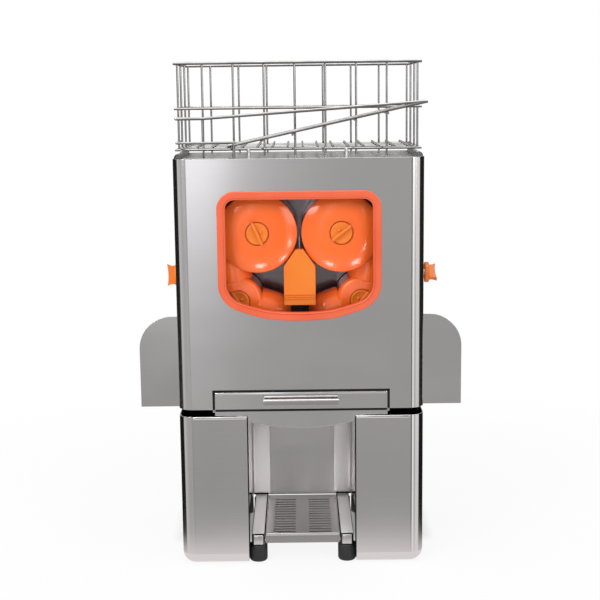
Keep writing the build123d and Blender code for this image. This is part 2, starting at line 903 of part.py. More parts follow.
# Side wings on the front of the chamber back plate, cut away above the bins
wing_bottom = bin_height - wing_bottom_drop
wing_top = wing_bottom + wing_height
for side, word in SIDES:
    with BuildPart() as wing:
        with BuildSketch(front_plane(plate_front)):
            with BuildLine():
                Polyline(
                    (side * (housing_half + wing_reach), wing_bottom),
                    (side * (housing_half + wing_reach), wing_top),
                    (side * (housing_half - wing_lap), wing_top),
                    (side * (housing_half - wing_lap), chamber_floor),
                    (side * (cover_half + wing_bin_gap), chamber_floor),
                    (side * (cover_half + wing_bin_gap), wing_bottom),
                    close=True,
                )
            make_face()
            corner = Vector(side * (housing_half + wing_reach), wing_top)
            fillet(vertices().sort_by_distance(corner)[0], wing_corner)
        extrude(amount=plate)
    save(wing, f"wing_{word}")

# Front cover: a sheet bent round the chamber, open at the back, with a window and a notch for the drawer
tank_top = cover_bottom + tank_rise
drawer_bottom = tank_top + drawer_gap
drawer_top = drawer_bottom + drawer_height
cover_tail = plate_front - cover_tail_gap
window_top = upper_z + window_head
window_bottom = lower_z - window_sill


def rounded_front(half, front, rear, radius):
    """Adds a rectangle with two round front corners to the plan being drawn."""
    with Locations((0, (front + rear) / 2)):
        Rectangle(2 * half, rear - front)
    fillet(vertices().group_by(Axis.Y)[0], radius)


def window_outline(inset):
    """Adds the window's outline, drawn inside its frame's outer edge, to the sketch being drawn."""
    head = window_top - inset
    foot = window_bottom + inset
    with Locations((0, (head + foot) / 2)):
        Rectangle(2 * (window_half - inset), head - foot)
    with Locations((0, window_bottom + window_arc)):
        Circle(window_arc - inset, mode=Mode.INTERSECT)
    fillet(vertices().group_by(Axis.Y)[-1], window_corner - inset)
    fillet(vertices().group_by(Axis.Y)[0], window_sill_corner - inset)


def window_slice(inset, rear, depth, mode=Mode.ADD):
    """Extrudes the window's outline forward from a depth, into the part being built."""
    with BuildSketch(front_plane(rear)) as outline:
        window_outline(inset)
    extrude(outline.sketch, amount=depth, mode=mode)


with BuildPart() as front_cover:
    with BuildSketch(Plane.XY.offset(cover_bottom)):
        rounded_front(cover_half, cover_face, cover_tail, cover_corner)
    extrude(amount=cover_top - cover_bottom)
    with BuildSketch(Plane.XY.offset(cover_bottom)):
        rounded_front(cover_half - sheet, cover_face + sheet, cover_tail + sheet, cover_corner - sheet)
    extrude(amount=cover_top - cover_bottom, mode=Mode.SUBTRACT)
    window_slice(frame_lap - seat_gap, cover_face + sheet, sheet, mode=Mode.SUBTRACT)
    notch_half = tank_half + notch_gap
    notch_top = drawer_top + notch_gap
    slab(-notch_half, notch_half, cover_face, cover_face + sheet, cover_bottom, notch_top, mode=Mode.SUBTRACT)
    slot_half = stud_diameter / 2 + fixing_slot_gap
    for side, _ in SIDES:
        near = side * (cover_half - sheet)
        far = side * cover_half
        rod((near, fixing_y, fixing_z), (far, fixing_y, fixing_z), 2 * slot_half, mode=Mode.SUBTRACT)
        slab(
            near, far, fixing_y, cover_tail, fixing_z - slot_half, fixing_z + slot_half, mode=Mode.SUBTRACT
        )
save(front_cover, "front_cover")

# Window frame: a double-ridged gasket that grips the cover's sheet and holds the pane
frame_front = cover_face - frame_proud
frame_rear = cover_face + sheet + frame_back_depth
pane_rear = frame_rear - (frame_back_depth - pane_thickness) / 2
with BuildPart() as ridge_groove:
    window_slice(frame_ridge_start, frame_front + frame_ridge_depth, frame_ridge_depth)
    window_slice(
        frame_ridge_start + frame_ridge_gap,
        frame_front + frame_ridge_depth,
        frame_ridge_depth,
        mode=Mode.SUBTRACT,
    )

with BuildPart() as window_frame:
    window_slice(0, cover_face, frame_proud)
    window_slice(frame_width, cover_face, frame_proud, mode=Mode.SUBTRACT)
    fillet(window_frame.edges().group_by(Axis.Y)[0], frame_round)
    window_slice(frame_lap, cover_face + sheet, sheet)
    window_slice(frame_back_lap, frame_rear, frame_back_depth)
    window_slice(frame_width, frame_rear, frame_rear - cover_face, mode=Mode.SUBTRACT)
    window_slice(
        frame_width - pane_grip - seat_gap,
        pane_rear + seat_gap,
        pane_thickness + 2 * seat_gap,
        mode=Mode.SUBTRACT,
    )
    add(ridge_groove.part, mode=Mode.SUBTRACT)
save(window_frame, "window_frame")

with BuildPart() as window_pane:
    window_slice(frame_width - pane_grip, pane_rear, pane_thickness)
save(window_pane, "window_pane")

# Runners under the press chamber, with one ledge for the tank's flanges and one for the drawer
panel_front = cover_face + front_panel_setback
panel_back = panel_front + sheet
runner_inner = tank_half + runner_gap
runner_front = panel_back + runner_gap
drawer_ledge_top = drawer_bottom - rest_gap
tank_flange_bottom = tank_top - sheet
tank_ledge_top = tank_flange_bottom - rest_gap
with BuildPart() as tank_runners:
    for side, _ in SIDES:
        web = side * runner_inner
        outer = side * (runner_inner + runner_web)
        foot = tank_ledge_top - sheet
        slab(web, outer, runner_front, plate_front, foot, foot + runner_rise)
        for top, reach in ((drawer_ledge_top, runner_ledge), (tank_ledge_top, runner_lip)):
            slab(side * (runner_inner - reach), web, runner_front, plate_front, top - sheet, top)
save(tank_runners, "tank_runners")

# Collecting tank: a round-bottomed trough, a panel that hangs into the bay with the same curve, and a spout
panel_radius = (tank_half**2 + tank_sag**2) / (2 * tank_sag)
panel_arc_z = tank_top - tank_sag + panel_radius
panel_end_bottom = bin_height + panel_bin_gap
panel_bay_half = bay_half - panel_bay_gap
trough_radius = panel_radius - trough_inset
trough_rear = plate_front - trough_tail_gap
trough_half = sqrt(trough_radius**2 - (panel_arc_z - tank_top) ** 2)
trough_floor = panel_arc_z - trough_radius
spout_y = cover_face + spout_setback
spout_tip = trough_floor - spout_drop


def trough_slice(radius, half, rear, depth, mode=Mode.ADD):
    """Extrudes what lies of a circle under the tank's top and within a half width into the part."""
    with BuildSketch(front_plane(rear)) as segment:
        with Locations((0, panel_arc_z)):
            Circle(radius)
        with Locations((0, tank_top - radius / 2)):
            Rectangle(2 * half, radius, mode=Mode.INTERSECT)
    extrude(segment.sketch, amount=depth, mode=mode)


with BuildPart() as collecting_tank:
    slab(-tank_half, tank_half, panel_front, panel_back, panel_end_bottom, tank_top)
    trough_slice(panel_radius, panel_bay_half, panel_back, sheet)
    trough_slice(trough_radius, trough_half, trough_rear, trough_rear - panel_back)
    for side, _ in SIDES:
        flange = side * (runner_inner - tank_flange_gap)
        inner = side * (trough_half - sheet)
        slab(inner, flange, runner_front, trough_rear, tank_flange_bottom, tank_top)
    rod((0, spout_y, spout_tip), (0, spout_y, trough_floor + sheet), spout_diameter)
    trough_slice(
        trough_radius - sheet,
        trough_half - sheet,
        trough_rear - sheet,
        trough_rear - sheet - panel_back,
        mode=Mode.SUBTRACT,
    )
    spout_bore = spout_diameter - 2 * sheet
    rod((0, spout_y, spout_tip), (0, spout_y, trough_floor + 2 * sheet), spout_bore, mode=Mode.SUBTRACT)
save(collecting_tank, "collecting_tank")

# Strainer drawer: a front panel and a tray with a perforated floor
drawer_rear = plate_front - drawer_tail_gap
drawer_tray_half = tank_half - drawer_side_gap
with BuildPart() as strainer_drawer:
    slab(-tank_half, tank_half, panel_front, panel_back, drawer_bottom, drawer_top)
    slab(-drawer_tray_half, drawer_tray_half, panel_back, drawer_rear, drawer_bottom, drawer_top)
    slab(
        -drawer_tray_half + sheet,
        drawer_tray_half - sheet,
        panel_back,
        drawer_rear - sheet,
        drawer_bottom + sheet,
        drawer_top,
        mode=Mode.SUBTRACT,
    )
    hole_columns = int((2 * drawer_tray_half - 2 * hole_margin) // hole_pitch) + 1
    hole_rows = int((drawer_rear - panel_back - 2 * hole_margin) // hole_pitch) + 1
    with BuildSketch(Plane.XY.offset(drawer_bottom)):
        with Locations((0, (panel_back + drawer_rear) / 2)):
            with GridLocations(hole_pitch, hole_pitch, hole_columns, hole_rows):
                Circle(hole_diameter / 2)
    extrude(amount=sheet, mode=Mode.SUBTRACT)
save(strainer_drawer, "strainer_drawer")

# Drawer handle: a strip folded twice, with a flange on the drawer's front and a finger gap behind its lip
handle_top = drawer_top - handle_drop
with BuildPart() as drawer_handle:
    with BuildSketch(Plane.YZ.offset(-handle_half)) as strip:
        with BuildLine():
            Polyline(
                (panel_front, handle_top + handle_flange),
                (panel_front - sheet, handle_top + handle_flange),
                (panel_front - sheet, handle_top),
                (panel_front - handle_reach, handle_top),
                (panel_front - handle_reach, handle_top - handle_height),
                (panel_front - handle_reach + sheet, handle_top - handle_height),
                (panel_front - handle_reach + sheet, handle_top - sheet),
                (panel_front, handle_top - sheet),
                close=True,
            )
        make_face()
        outer_fold = strip.vertices().group_by(Axis.X)[0].sort_by(Axis.Y)[-1]
        fillet(outer_fold, handle_fold)
        inner_fold = strip.vertices().sort_by_distance((panel_front - handle_reach + sheet, handle_top - sheet))[0]
        fillet(inner_fold, handle_fold - sheet)
    extrude(amount=2 * handle_half)
save(drawer_handle, "drawer_handle")

# Peel bins: open boxes beside the bay, rounded at the front outer edge and at the foot
bin_rear = column_front - rest_gap


def bin_block(side, inset, top):
    """A bin's block, drawn inside its outer faces by the inset."""
    near = side * (bay_half + inset)
    far = side * (cover_half - inset)
    front = cover_face + inset
    rear = bin_rear - inset
    with BuildPart() as block:
        slab(near, far, front, rear, inset, top)
        upright = block.edges().filter_by(Axis.Z).sort_by_distance((far, front, 0))[0]
        fillet(upright, cover_corner - inset)
        foot = block.faces().sort_by(Axis.Z)[0].edges()
        shown = [e for e in foot if abs(e.center().X - near) > sheet and abs(e.center().Y - rear) > sheet]
        fillet(shown, bin_foot_round - inset)
    return block.part


for side, word in SIDES:
    outside = bin_block(side, 0, bin_height)
    inside = bin_block(side, sheet, bin_height + sheet)
    with BuildPart() as peel_bin:
        add(outside)
        add(inside, mode=Mode.SUBTRACT)
    save(peel_bin, f"{word}_peel_bin")

# Top tray: a deck over the housing and the chamber, with folded rims, an inlet and two basket studs
tray_front = cover_face + sheet + tray_front_gap
rim_top = tray_top + rim_height
inlet_x = -housing_half + inlet_left_gap + inlet_width / 2
inlet_right = inlet_x + inlet_width / 2
inlet_y = tray_front + inlet_front_gap + inlet_length / 2
basket_front = cover_face + basket_setback
stud_y = basket_front - cross_wire / 2 - rest_gap - basket_stud / 2
with BuildPart() as top_tray:
    slab(-housing_half, housing_half, tray_front, panel_rear, housing_top, tray_top)
    for side, _ in SIDES:
        with BuildSketch(front_plane(panel_rear)):
            with BuildLine():
                Polyline(
                    (side * (housing_half - sheet), tray_top),
                    (side * housing_half, tray_top),
                    (side * housing_half, rim_top),
                    (side * (housing_half - rim_width), rim_top),
                    (side * (housing_half - rim_width), rim_top - sheet),
                    (side * (housing_half - sheet), rim_top - sheet),
                    close=True,
                )
            make_face()
            bend = (side * housing_half, rim_top)
            hollow = (side * (housing_half - sheet), rim_top - sheet)
            fillet(vertices().sort_by_distance(bend)[0], rim_round)
            fillet(vertices().sort_by_distance(hollow)[0], rim_round - sheet)
        extrude(amount=panel_rear - tray_front)
    with BuildSketch(Plane.XY.offset(housing_top)):
        rounded_front(housing_half, tray_front, panel_rear, cover_corner - sheet)
    extrude(amount=rim_top - housing_top, mode=Mode.INTERSECT)
    with BuildSketch(Plane.XY.offset(housing_top)):
        with Locations((inlet_x, inlet_y)):
            RectangleRounded(inlet_width, inlet_length, inlet_corner)
    extrude(amount=sheet, mode=Mode.SUBTRACT)
    with Locations((basket_stud_left, stud_y, tray_top), (basket_stud_right, stud_y, tray_top)):
        Cylinder(basket_stud / 2, basket_stud_height, align=(Align.CENTER, Align.CENTER, Align.MIN))
save(top_tray, "top_tray")

# Feed chute under the inlet, sloping down to the left cup drum
chute_start = -inner_half + chute_left_gap
chute_end = inlet_right
chute_high = housing_top - chute_drop
chute_front = frame_rear + chute_front_gap
with BuildPart() as feed_chute:
    with BuildSketch(front_plane(plate_front)):
        with BuildLine():
            Polyline(
                (chute_start, chute_high),
                (chute_end, chute_high - chute_fall),
                (chute_end, chute_high - chute_fall - sheet),
                (chute_start, chute_high - sheet),
                close=True,
            )
        make_face()
    extrude(amount=plate_front - chute_front)
save(feed_chute, "feed_chute")

# Wire basket: grids of welded bars that stand on the tray and on its rims
basket_half = housing_half + basket_overhang
basket_rear = basket_front + basket_length
rim_z = tray_top + basket_rim_rise
mid_z = tray_top + basket_mid_rise
low_z = rim_top + rest_gap + cross_wire / 2
corner_x = basket_half - rim_wire / 2 - wire / 2 - seat_gap
bar_count = int((2 * corner_x - bar_pitch / 4) // bar_pitch) + 1
inner_bars = [corner_x - i * bar_pitch for i in range(1, bar_count)]
bar_inset = (cross_wire + wire) / 2 - weld
levels = ((rim_z, rim_wire), (mid_z, cross_wire), (low_z, cross_wire))
front_bar_y = basket_front + bar_inset
rear_bar_y = basket_rear - bar_inset


def upright_bars(places, bottom):
    """Upright bars from a level up to the basket's rim, put into the part being built."""
    with Locations(*[(x, y, bottom) for x, y in places]):
        Cylinder(wire / 2, rim_z - bottom, align=(Align.CENTER, Align.CENTER, Align.MIN))


for word, y, bar_y in (("front", basket_front, front_bar_y), ("rear", basket_rear, rear_bar_y)):
    with BuildPart() as basket_wall:
        for z, diameter in levels:
            reach = basket_half + rim_wire / 2
            rod((-reach, y, z), (reach, y, z), diameter)
        upright_bars([(x, bar_y) for x in inner_bars], tray_top + rest_gap)
        upright_bars([(-corner_x, bar_y), (corner_x, bar_y)], rim_top + rest_gap)
    save(basket_wall, f"basket_{word}_wall")

side_bar_ys = [basket_front + (i + 1) * basket_length / (side_bar_count + 1) for i in range(side_bar_count)]
for side, word in SIDES:
    x = side * basket_half
    with BuildPart() as basket_side:
        for z, diameter in levels:
            end_gap = diameter / 2 + running_gap
            rod((x, basket_front + end_gap, z), (x, basket_rear - end_gap, z), diameter)
        upright_bars([(side * (basket_half - bar_inset), y) for y in side_bar_ys], rim_top + rest_gap)
    save(basket_side, f"basket_{word}_wall")

with BuildPart() as basket_floor:
    floor_z = low_z + cross_wire / 2 + running_gap + wire / 2
    floor_pitch = bar_pitch / floor_wires_per_bay
    floor_count = int((2 * corner_x - wire) // floor_pitch)
    floor_xs = [corner_x - (i + 0.5) * floor_pitch for i in range(floor_count)]
    under_z = floor_z - bar_inset
    for i in range(floor_cross_count):
        y = basket_front + (i + 1) * basket_length / (floor_cross_count + 1)
        reach = basket_half - cross_wire / 2 - running_gap
        rod((-reach, y, under_z), (reach, y, under_z), cross_wire)
    with Locations(*[Plane((x, basket_front, floor_z), z_dir=(0, 1, 0)) for x in floor_xs]):
        Cylinder(wire / 2, basket_length, align=(Align.CENTER, Align.CENTER, Align.MIN))
save(basket_floor, "basket_floor")

# Ramp along the basket's front: a fence of two converging rods, closed at its low end, and a sloping floor
ramp_y = basket_front - ramp_lead
guard_z = tray_top + guard_rise
cage_z = tray_top + cage_rise
cage_x = -corner_x + wire / 2 + running_gap + cross_wire / 2
ramp_low_x = inlet_right + ramp_low_gap
ramp_high_x = basket_half + ramp_overhang
guard_knee_x = inlet_right - guard_knee_gap
ramp_low_z = tray_top + ramp_low_rise
ramp_high_z = tray_top + ramp_high_rise
ramp_slope = (ramp_high_z - ramp_low_z) / (ramp_high_x - ramp_low_x)


def ramp_z(x):
    """The height of the ramp's rods at a place along it."""
    return ramp_low_z + (x - ramp_low_x) * ramp_slope


with BuildPart() as ramp_fence:
    stay_y = ramp_y + bar_inset
    rod((cage_x, ramp_y, guard_z), (guard_knee_x, ramp_y, guard_z), rim_wire)
    with Locations((cage_x, ramp_y, guard_z), (guard_knee_x, ramp_y, guard_z)):
        Sphere(rim_wire / 2)
    rod((guard_knee_x, ramp_y, guard_z), (ramp_high_x, ramp_y, ramp_high_z), rim_wire)
    rod((cage_x, ramp_y, cage_z), (ramp_low_x + rim_wire, ramp_y, cage_z), cross_wire)
    with Locations((cage_x, ramp_y, cage_z)):
        Sphere(cross_wire / 2)
    for z in (guard_z, cage_z):
        rod((cage_x, ramp_y, z), (cage_x, front_bar_y + wire / 2, z), cross_wire)
    rod((ramp_low_x, ramp_y, ramp_low_z), (ramp_high_x, ramp_y, ramp_high_z), rim_wire)
    rod((guard_knee_x, stay_y, cage_z - wire), (guard_knee_x, stay_y, guard_z), wire)
    rod((ramp_low_x, ramp_y, tray_top + rest_gap), (ramp_low_x, ramp_y, cage_z), cross_wire)
save(ramp_fence, "ramp_fence")

with BuildPart() as ramp_floor:
    beside = wire / 2 + cross_wire / 2 + running_gap
    tie_xs = [x - beside for x in inner_bars if x > ramp_low_x - rim_wire]
    tie_drop = (rim_wire / 2) * sqrt(1 + ramp_slope**2) + cross_wire / 2 + running_gap
    for x in tie_xs:
        z = ramp_z(x) - tie_drop
        rod((x, ramp_y - cross_wire / 2, z), (x, front_bar_y, z), cross_wire)
    start_x = min(tie_xs) - cross_wire
    for i in (1, 2):
        y = ramp_y + i * ramp_rod_pitch
        low = ramp_z(start_x) - ramp_rod_drop
        rod((start_x, y, low), (ramp_high_x, y, ramp_high_z - ramp_rod_drop), rim_wire)
save(ramp_floor, "ramp_floor")

# Rocker switch in the right side panel
pivot_x = housing_half
rocker_back = pivot_x - rocker_thickness / 2
pocket_floor = rocker_back - rocker_gap - rocker_rise
with BuildPart() as switch_body:
    bezel_half_y = switch_width / 2 + switch_bezel_edge
    bezel_half_z = switch_height / 2 + switch_bezel_edge
    slab(
        housing_half,
        housing_half + switch_bezel,
        switch_y - bezel_half_y,
        switch_y + bezel_half_y,
        switch_z - bezel_half_z,
        switch_z + bezel_half_z,
    )
    slab(
        housing_half - switch_depth,
        housing_half,
        switch_y - switch_width / 2 + seat_gap,
        switch_y + switch_width / 2 - seat_gap,
        switch_z - switch_height / 2 + seat_gap,
        switch_z + switch_height / 2 - seat_gap,
    )
    pocket_y = rocker_width / 2 + rest_gap
    pocket_z = rocker_height / 2 + rocker_gap
    slab(
        pocket_floor,
        housing_half + switch_bezel,
        switch_y - pocket_y,
        switch_y + pocket_y,
        switch_z - pocket_z,
        switch_z + pocket_z,
        mode=Mode.SUBTRACT,
    )
    pin_reach = pocket_y + rocker_pin_grip
    rod(
        (pivot_x, switch_y - pin_reach, switch_z),
        (pivot_x, switch_y + pin_reach, switch_z),
        rocker_pin + 2 * running_gap,
        mode=Mode.SUBTRACT,
    )
save(switch_body, "switch_body")

with BuildPart() as switch_rocker:
    tip = rocker_height / 2
    with BuildSketch(front_plane(switch_y + rocker_width / 2)):
        with BuildLine():
            Polyline(
                (rocker_back, switch_z - tip),
                (rocker_back, switch_z + tip),
                (pivot_x + switch_bezel + rocker_rise, switch_z + tip),
                (pivot_x + switch_bezel, switch_z),
                (pivot_x + switch_bezel + rocker_rise, switch_z - tip),
                close=True,
            )
        make_face()
    extrude(amount=rocker_width)
    pin_end = pin_reach - seat_gap
    rod((pivot_x, switch_y - pin_end, switch_z), (pivot_x, switch_y + pin_end, switch_z), rocker_pin)
save(switch_rocker, "switch_rocker")

# Cable gland in the back panel
with BuildPart() as cable_gland:
    with BuildSketch(front_plane(panel_rear)):
        with Locations((gland_x, gland_z)):
            Circle(gland_thread / 2)
    extrude(amount=sheet + gland_inside)
    with BuildSketch(front_plane(panel_rear + gland_hex_length)):
        with Locations((gland_x, gland_z)):
            RegularPolygon(gland_hex / 2, 6, major_radius=False)
    extrude(amount=gland_hex_length)
    with BuildSketch(front_plane(panel_rear + gland_hex_length + gland_dome_length)):
        with Locations((gland_x, gland_z)):
            Circle(gland_dome / 2)
    extrude(amount=gland_dome_length)
    with BuildSketch(front_plane(panel_rear + gland_hex_length + gland_dome_length)):
        with Locations((gland_x, gland_z)):
            Circle(gland_bore / 2)
    extrude(amount=gland_hex_length + gland_dome_length + sheet + gland_inside, mode=Mode.SUBTRACT)
save(cable_gland, "cable_gland")
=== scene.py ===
# Automatic orange juicer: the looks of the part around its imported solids.
import json
from math import pi, radians

import bmesh
import bpy
from mathutils import Matrix, Vector

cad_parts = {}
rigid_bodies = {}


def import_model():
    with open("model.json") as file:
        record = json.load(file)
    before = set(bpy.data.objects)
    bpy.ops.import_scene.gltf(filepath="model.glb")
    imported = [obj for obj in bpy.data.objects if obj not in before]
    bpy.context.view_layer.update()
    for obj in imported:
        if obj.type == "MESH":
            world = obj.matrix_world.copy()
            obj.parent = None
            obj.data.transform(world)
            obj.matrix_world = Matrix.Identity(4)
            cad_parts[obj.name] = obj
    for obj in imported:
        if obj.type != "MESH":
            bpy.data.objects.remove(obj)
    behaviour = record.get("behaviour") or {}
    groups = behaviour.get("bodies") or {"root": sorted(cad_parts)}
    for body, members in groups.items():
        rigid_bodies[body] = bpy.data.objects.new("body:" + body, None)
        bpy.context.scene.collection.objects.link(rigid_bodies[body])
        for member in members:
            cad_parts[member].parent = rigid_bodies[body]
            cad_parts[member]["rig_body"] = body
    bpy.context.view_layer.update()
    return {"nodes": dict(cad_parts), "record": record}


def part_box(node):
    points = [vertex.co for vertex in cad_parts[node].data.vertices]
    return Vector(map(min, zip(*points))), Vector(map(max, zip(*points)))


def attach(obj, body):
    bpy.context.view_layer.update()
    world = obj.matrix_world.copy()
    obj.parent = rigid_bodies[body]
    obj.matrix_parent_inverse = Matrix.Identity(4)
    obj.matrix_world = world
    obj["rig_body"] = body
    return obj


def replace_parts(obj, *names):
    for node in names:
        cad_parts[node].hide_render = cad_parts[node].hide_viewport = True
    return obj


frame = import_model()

nodes = frame["nodes"]
MM = 0.001
MERGE_DISTANCE = 0.002 * MM
SIDES = ((-1, "left"), (1, "right"))
DRUMS = ("upper_left", "upper_right", "lower_left", "lower_right")
AHEAD = (0.0, -1.0, 0.0)
BACKWARDS = (0.0, 1.0, 0.0)
UPWARDS = (0.0, 0.0, 1.0)

# Finishes, as linear colours
STEEL = (0.700, 0.676, 0.672, 1.0)
STEEL_SMUDGE = (0.682, 0.659, 0.655, 1.0)
BIN_STEEL = (0.825, 0.797, 0.792, 1.0)
BIN_STEEL_SMUDGE = (0.800, 0.773, 0.768, 1.0)
TRAY_STEEL = (0.460, 0.445, 0.442, 1.0)
TRAY_STEEL_SMUDGE = (0.440, 0.426, 0.423, 1.0)
WING_STEEL = (0.580, 0.557, 0.545, 1.0)
WING_STEEL_SMUDGE = (0.560, 0.540, 0.530, 1.0)
SHADED_STEEL = (0.27, 0.225, 0.235, 1.0)
SHADED_STEEL_SMUDGE = (0.20, 0.165, 0.175, 1.0)
CHROME = (0.47, 0.46, 0.455, 1.0)
CHROME_DULL = (0.35, 0.343, 0.34, 1.0)
# Painted shade and painted dark reflection on the wires' undersides and flanks
CHROME_PAINTED_SHADE = (0.10, 0.095, 0.095, 1.0)
DARK_STEEL = (0.20, 0.20, 0.21, 1.0)
DARK_STEEL_OILED = (0.11, 0.11, 0.115, 1.0)
PRESS_ORANGE = (0.82, 0.124, 0.016, 1.0)
PRESS_ORANGE_PALE = (0.85, 0.142, 0.022, 1.0)
AMBER = (0.83, 0.185, 0.008, 1.0)
AMBER_PALE = (0.86, 0.215, 0.013, 1.0)
CORAL = (0.73, 0.103, 0.034, 1.0)
CORAL_PALE = (0.76, 0.124, 0.046, 1.0)
# Black of the rubber feet, also the black of the strips that are painted shade in gaps
RUBBER_AND_GAP_SHADE = (0.010, 0.010, 0.012, 1.0)
RUBBER_DUSTY = (0.018, 0.018, 0.020, 1.0)
BRONZE = (0.42, 0.23, 0.085, 1.0)
BRONZE_WORN = (0.55, 0.33, 0.14, 1.0)
MOTOR_GREY = (0.10, 0.12, 0.14, 1.0)
MOTOR_GREY_PALE = (0.14, 0.16, 0.18, 1.0)
BLACK = (0.014, 0.014, 0.015, 1.0)
BLACK_PALE = (0.028, 0.028, 0.030, 1.0)
MARK_WHITE = (0.78, 0.78, 0.76, 1.0)
MARK_WHITE_WORN = (0.60, 0.60, 0.58, 1.0)
CLEAR = (0.10, 0.11, 0.11, 1.0)
CLEAR_COVERAGE = 0.015
# Low shine that keeps the painted gap-shade strips dark
GAP_SHADE_SHINE = 0.08

# Grain of the finishes, in cycles a metre along X, Y and Z
BRUSHED_ACROSS = (5.0, 5.0, 900.0)
BRUSHED_ALONG_THE_DEPTH = (300.0, 5.0, 900.0)
BRUSHED_LEVEL = (5.0, 900.0, 60.0)
HANDLING_MARKS = (6.0, 6.0, 9.0)
WIPED_STREAKS = (9.0, 9.0, 60.0)
PLASTIC_DRIFT = (14.0, 14.0, 14.0)
METAL_DRIFT = (25.0, 25.0, 25.0)
WIRE_DRIFT = (40.0, 40.0, 40.0)
NOISE_MIDDLE = (0.35, 0.68)
ACROSS_THE_BRUSHING = 0.25


# Materials

def new_finish(name):
    """A material with its shader, its node tree and a point in the piece's own coordinates."""
    made = bpy.data.materials.new(name)
    made.use_nodes = True
    tree = made.node_tree
    place = tree.nodes.new("ShaderNodeTexCoord")
    return made, tree, tree.nodes["Principled BSDF"], place.outputs["Object"]


def grain(tree, place, stretch, detail, rough):
    """Noise that is stretched along some axes: its scale in cycles a metre along X, Y and Z."""
    mapping = tree.nodes.new("ShaderNodeMapping")
    mapping.inputs["Scale"].default_value = stretch
    tree.links.new(place, mapping.inputs["Vector"])
    noise = tree.nodes.new("ShaderNodeTexNoise")
    noise.inputs["Scale"].default_value = 1.0
    noise.inputs["Detail"].default_value = detail
    noise.inputs["Roughness"].default_value = rough
    tree.links.new(mapping.outputs["Vector"], noise.inputs["Vector"])
    return noise.outputs["Fac"]


def spread(tree, source, low, high, start=0.3, end=0.7):
    """Maps a value to a range, held at its ends."""
    ranged = tree.nodes.new("ShaderNodeMapRange")
    for socket, value in (("From Min", start), ("From Max", end), ("To Min", low), ("To Max", high)):
        ranged.inputs[socket].default_value = value
    tree.links.new(source, ranged.inputs["Value"])
    return ranged.outputs["Result"]


def tinted(tree, source, first, second):
    """A colour that goes from one tone to another over the middle of a noise."""
    ramp = tree.nodes.new("ShaderNodeValToRGB")
    for stop, position, tone in zip(ramp.color_ramp.elements, NOISE_MIDDLE, (first, second)):
        stop.position = position
        stop.color = tone
    tree.links.new(source, ramp.inputs["Fac"])
    return ramp.outputs["Color"]


def blended(tree, share, first, second, way="MIX"):
    """Two colours mixed by a share. Each is a socket or a colour."""
    mix = tree.nodes.new("ShaderNodeMix")
    mix.data_type = "RGBA"
    mix.blend_type = way
    sockets = [s for s in mix.inputs if s.enabled]
    for socket, value in zip(sockets, (share, first, second)):
        if isinstance(value, (tuple, float)):
            socket.default_value = value
        else:
            tree.links.new(value, socket)
    return [s for s in mix.outputs if s.enabled][0]


def counted(tree, operation, first, second=None):
    """A Math node on one or two sockets or numbers."""
    made = tree.nodes.new("ShaderNodeMath")
    made.operation = operation
    for i, value in enumerate((first, second)):
        if value is None:
            continue
        if isinstance(value, float):
            made.inputs[i].default_value = value
        else:
            tree.links.new(value, made.inputs[i])
    return made.outputs["Value"]


def dents(tree, shader, source, strength, depth):
    """Lets a noise stand out of the surface."""
    bump = tree.nodes.new("ShaderNodeBump")
    bump.inputs["Strength"].default_value = strength
    bump.inputs["Distance"].default_value = depth
    tree.links.new(source, bump.inputs["Height"])
    tree.links.new(bump.outputs["Normal"], shader.inputs["Normal"])


def brushed_steel(name, brush, gloss=(0.125, 0.155), drawn=0.94, tones=(STEEL_SMUDGE, STEEL), metal=1.0):
    """Stainless sheet: fine lines along the brushing, a gloss drawn out across them, and handling marks."""
    made, tree, shader, place = new_finish(name)
    lines = grain(tree, place, brush, 5.0, 0.6)
    marks = grain(tree, place, HANDLING_MARKS, 3.0, 0.5)
    shader.inputs["Metallic"].default_value = metal
    shader.inputs["Anisotropic"].default_value = drawn
    shader.inputs["Anisotropic Rotation"].default_value = ACROSS_THE_BRUSHING
    tree.links.new(tinted(tree, lines, *tones), shader.inputs["Base Color"])
    tree.links.new(spread(tree, marks, *gloss), shader.inputs["Roughness"])
    dents(tree, shader, lines, 0.02, 0.00003)
    return made


def moulded_plastic(name, tone, pale, gloss, skin_scale=900.0, depth=0.00003):
    """A moulded part: a slow drift of tone and the faint texture of its mould."""
    made, tree, shader, place = new_finish(name)
    drift = grain(tree, place, PLASTIC_DRIFT, 2.0, 0.5)
    skin = grain(tree, place, (skin_scale, skin_scale, skin_scale), 2.0, 0.5)
    tree.links.new(tinted(tree, drift, tone, pale), shader.inputs["Base Color"])
    tree.links.new(spread(tree, drift, *gloss), shader.inputs["Roughness"])
    dents(tree, shader, skin, 0.12, depth)
    return made


def plain_metal(name, tone, other, gloss, lines):
    """A turned or drawn metal part with tool marks."""
    made, tree, shader, place = new_finish(name)
    drift = grain(tree, place, METAL_DRIFT, 3.0, 0.5)
    shader.inputs["Metallic"].default_value = 1.0
    tree.links.new(tinted(tree, drift, other, tone), shader.inputs["Base Color"])
    tree.links.new(spread(tree, drift, *gloss), shader.inputs["Roughness"])
    dents(tree, shader, grain(tree, place, lines, 4.0, 0.6), 0.08, 0.00004)
    return made


